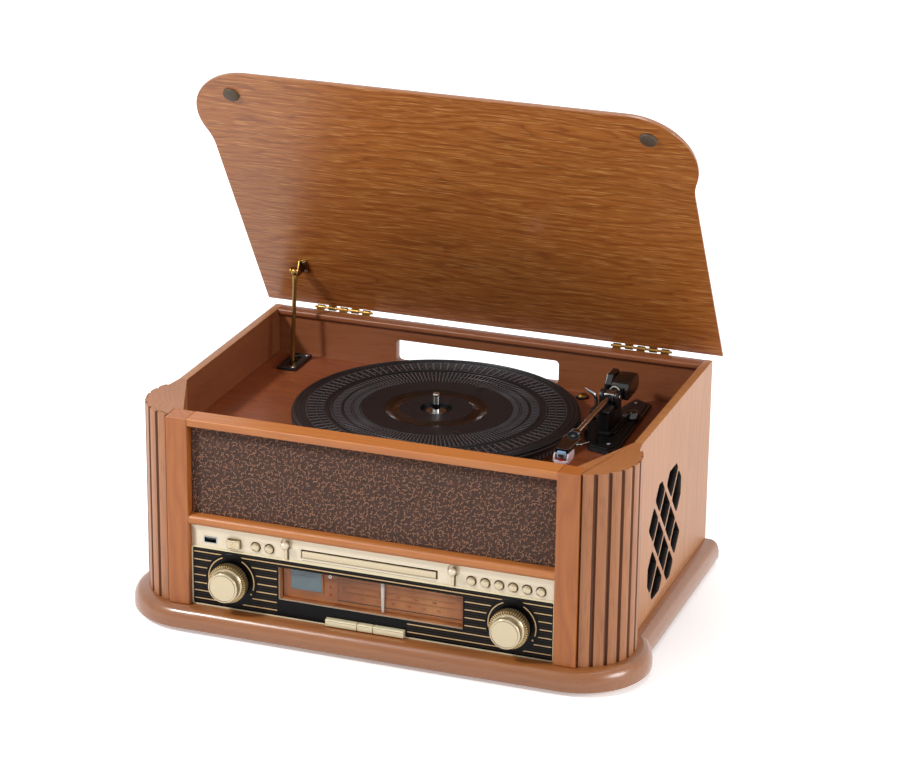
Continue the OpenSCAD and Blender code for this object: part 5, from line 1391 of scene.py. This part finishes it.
# %% Cue lever and anti-skating dial
lever = joined("cue_lever_horn", [
    turned("boss", [(1.6, -13.8), (3.6, -13.8), (3.6, -10.3), (1.6, -10.3)], bright_steel,
           (0, -3, 154.3), "X", 32, where=ARM),
    wire("horn", [(-12.4, -3, 157), (-12.6, -3, 164), (-13.5, -3.2, 169.5), (-17, -3.6, 172.4),
                  (-21.6, -4.0, 174.6), (-23.5, -4.2, 176.4)], 1.5, bright_steel, ARM, 16,
         radii=[1.1, 1.1, 1.15, 1.3, 0.9, 0.35])])
dress(lever, "cue_lever", "steel", "cue_lever")
dial_knob = joined("anti_skate_cone", [
    turned("cone", [(2.1, 143.3), (8.8, 143.3), (9, 143.7), (9, 145.0), (8.7, 145.5), (6.3, 149.1),
                    (5.8, 149.5), (0, 149.5)][1:] + [(0, 143.3)], gloss_black, (16, 20, 0),
           steps=64, where=ARM),
    box("mark", (15.6, 13.2, 149.4), (16.4, 17.5, 149.6), ivory, 0.05, where=ARM)])
dress(dial_knob, "anti_skate_dial", "black_gloss", "anti_skate_dial")

# %% Deck fittings
SLOT_X, SLOT_Y = -189.0, 282.1
guide = joined("deck_guide_and_screw", [
    plate("guide", rounded_rect(-198, 260.5, -178, 305, 1.5),
          [rounded_rect(SLOT_X - 3, SLOT_Y - 14, SLOT_X + 3, SLOT_Y + 14, 2.9)], DECK + 0.02,
          DECK + 3.0, moulded_black, edge=0.7),
    *[turned("screw", [(0, 141.9), (1.9, 141.9), (2.4, 141.3), (0, 141.3)], bright_steel,
             (x, y, 0), steps=24) for x, y in ((-181.6, 265), (-181.6, 300.6))],
    turned("collar", [(0, DECK), (6.4, DECK), (6.4, 139.7), (5.9, 140.2), (0, 140.2)],
           moulded_black,
           (104.5, 296, 0), steps=48),
    turned("dome", [(0, 140.1), (5.4, 140.1), (5.4, 140.7), (4.4, 142.0), (2.4, 142.8),
                    (1.4, 143.1),
                    (0, 143.1)], old_brass, (104.5, 296, 0), steps=48)])
dress(guide, "cabinet", "black_matte", "deck_fittings")

# %% [markdown]
# ## Lid
# The lid's outline swells round both front corners: an arc over each column, met by a hollow arc
# from the side. Its underside shows broad figure, and its top and edge a paler one. It is drawn
# lying flat behind the hinge line and leans back with the lid's own matrix. The slab is built in
# rows, one above the other, and the upper rows step in along a quarter round.

# %% Lid slab
LID_LOW, LID_TOP, LID_X, LID_BACK = 1.5, 9.5, 233.2, -2.5
CORNER, CORNER_R, HOLLOW_R, ROUND = (181.5, -269.5), 59.2, 60.0, 7.5
reach_x = LID_X + HOLLOW_R - CORNER[0]
reach_y = math.sqrt((CORNER_R + HOLLOW_R) ** 2 - reach_x ** 2)
meet = math.degrees(math.atan2(reach_y, reach_x))


def lid_line(inset):
    """The lid's outline, drawn in from its sides and front."""
    half = ([(LID_X - inset, LID_BACK)]
            + arc((CORNER[0] + reach_x, CORNER[1] + reach_y), HOLLOW_R + inset, 180, 180 + meet, 12)
            + arc(CORNER, CORNER_R - inset, meet, -90, 28)[1:])
    return half + [(-x, y) for x, y in half[::-1]]


levels = [(LID_LOW, 0.4), (LID_LOW + 0.12, 0.12), (LID_LOW + 0.4, 0)]
levels += [(LID_TOP - ROUND * (1 - math.sin(a)), ROUND * (1 - math.cos(a)))
           for a in (math.radians(9 * k) for k in range(11))]
shape = bmesh.new()
rows = [[shape.verts.new((*p, z)) for p in lid_line(inset)] for z, inset in levels]
for lower, upper in zip(rows, rows[1:]):
    for k in range(len(lower)):
        shape.faces.new((lower[k - 1], lower[k], upper[k], upper[k - 1]))
shape.faces.new(rows[0])
shape.faces.new(rows[-1])
slab = settle("lid_slab", shape, lid_oak, LID, 40)
slab.data.materials.append(lid_top_oak)
down = (LID.to_3x3() @ Vector((0, 0, -1))).normalized()
for polygon in slab.data.polygons:
    polygon.material_index = 0 if polygon.normal.dot(down) > 0.9 else 1
dress(slab, "lid", "lid_wood", "lid_panel")

# %% Pads, hinges and the stay's bracket
pads = [turned("pad", [(0, LID_LOW), (8, LID_LOW), (8, 0.4), (7.2, -0.6), (5.4, -1.1), (0, -1.2)],
               bronze_pad, (x, -301.5, 0), where=LID, steps=48) for x in (-199.2, 199.2)]
STAY = (-189.0, -60.6, -6.5)
stay_at = LID @ Matrix.Translation(STAY)
drop = arc((0, 0), 4.2, 180, 360, 12) + [(9, 8.0), (-9, 8.0)]
bracket = [prism("drop", drop, 3.3, 5.1, old_brass, SIDEWAYS, 0.4, where=stay_at),
           box("foot", (3.3, -9, 6.5), (12, 9, 8.0), old_brass, 0.3, where=stay_at),
           turned("pin", [(0, -4.4), (3.3, -4.4), (3.4, -4.0), (3.4, -3.2), (2.0, -3.1), (2.0, 5.9),
                          (0, 6.3)], old_brass, (0, 0, 0), "X", 32, where=stay_at)]
bracket += [turned("screw", [(0, 6.1), (1.2, 6.1), (1.9, 6.5), (0, 6.5)], bright_steel, (8.6, y, 0),
                   steps=24, where=stay_at) for y in (-5.5, 5.5)]
dress(joined("lid_pads_and_bracket", pads + bracket), "lid", "brass", "lid_fittings")


def hinge_leaf(x, first, y, z, where):
    """One leaf on its rear face, with its share of the tongues, knuckles and screws."""
    middle, bore = (z[0] + z[1]) / 2, (z[1] - z[0]) / 6
    parts = [plate("leaf", rounded_rect(x - 30, z[0], x + 30, z[1], 0.8),
                   [circle(x + dx, middle, bore, 20) for dx in (-20, 0, 20)], *y, old_brass,
                   UPRIGHT, 0.15, where=where)]
    for k in range(first, 5, 2):
        x0 = x - 28 + 12 * k
        x1 = x0 + 8
        parts.append(turned("knuckle", [(2.1, x0), (2.4, x0 + 0.3), (2.4, x1 - 0.3), (2.1, x1),
                                        (1.2, x1), (1.2, x0)], old_brass, axis="X", steps=32,
                            where=where))
        root = sorted((z[1 - first] * 1.02, 0))
        parts.append(box("root", (x0, y[0], root[0]), (x1, y[1], root[1]), old_brass, 0,
                         where=where))
    for dx in (-20, 0, 20):
        parts.append(turned("screw", [(0, y[0]), (bore - 0.1, y[0]), (bore - 0.1, y[1] - 0.1),
                                      (bore - 0.6, y[1] + 0.05), (0, y[1] + 0.05)], bright_steel,
                            (x + dx, 0, middle), "Y", 24, where=where))
    return parts


at_hinge = CAB @ Matrix.Translation(HINGE)
for name, body, first, y, z, where in (
        ("lid_hinge_leaves", "lid", 1, (-2.5, -1.3), (2.8, 8.6), LID),
        ("cabinet_hinge_leaves", "cabinet", 0, (-3.0, -1.8), (-15, -2.8), at_hinge)):
    parts = [part for x in (-152.7, 152.7) for part in hinge_leaf(x, first, y, z, where)]
    if first == 0:
        parts += [turned("pin", [(0, x - 30.6), (1.2, x - 30.4), (1.2, x + 30.4), (0, x + 30.6)],
                         old_brass, axis="X", steps=20, where=where) for x in (-152.7, 152.7)]
    dress(joined(name + "_brass", parts), body, "brass", name)

# %% Stay rod
LEAN = math.radians(-4.7)
stay_top = Vector((-189.0, 288.25, 231.26))
ROD = CAB @ Matrix.Translation(stay_top) @ Matrix.Rotation(LEAN, 4, "X")
rod = joined("stay_rod_cranked", [
    turned("eye", [(2.05, -2.7), (3.7, -2.7), (4.0, -2.2), (4.0, 2.2), (3.7, 2.7), (2.05, 2.7)],
           old_brass, axis="X", steps=40, where=ROD),
    turned("rod", [(0, -105), (1.6, -105), (2, -104.4), (2, -12), (2.5, -9), (2.7, -5), (2.2, -2.4),
                   (0, -2.2)], old_brass, steps=32, where=ROD)])
dress(rod, "stay", "brass", "stay_rod")

# %% [markdown]
# ## Rear jacks, and finishes for what is carried over
# The jacks get coloured rings. The nodes that already have their right shape, mostly inside the
# cabinet, keep it and take a finish from above.

# %% Jack rings
rings = [turned("ring", [(2.0, 317.9), (4.6, 317.9), (4.6, 315.4), (3.9, 315.0), (2.0, 315.0)][::-1]
                , colour, (x, 0, z), "Y", 40)
         for x, z, colour in ((-55, 46, ivory), (-55, 30, red_tip), (-35, 46, ivory),
                              (-35, 30, red_tip))]
dress(joined("jack_rings", rings), "cabinet", "black_matte")

# %% Carried-over nodes
carried = {"speakers": satin_black_and_shade, "speaker_baffle": baffle_board, "dial_glass": window_glass,
           "dial_scale": dial_foil, "dial_cord": belt_rubber, "disc_drive": satin_black_and_shade,
           "control_board": board_green, "amplifier": board_green, "rear_panel": moulded_black,
           "bearing_housing": bright_steel, "motor": bright_steel, "motor_pulley": old_brass,
           "drive_belt": belt_rubber}
for name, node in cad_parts.items():
    if not node.hide_render:
        node.data.materials.clear()
        node.data.materials.append(carried[name])
print(len(carried), "nodes keep their shape and get a finish")
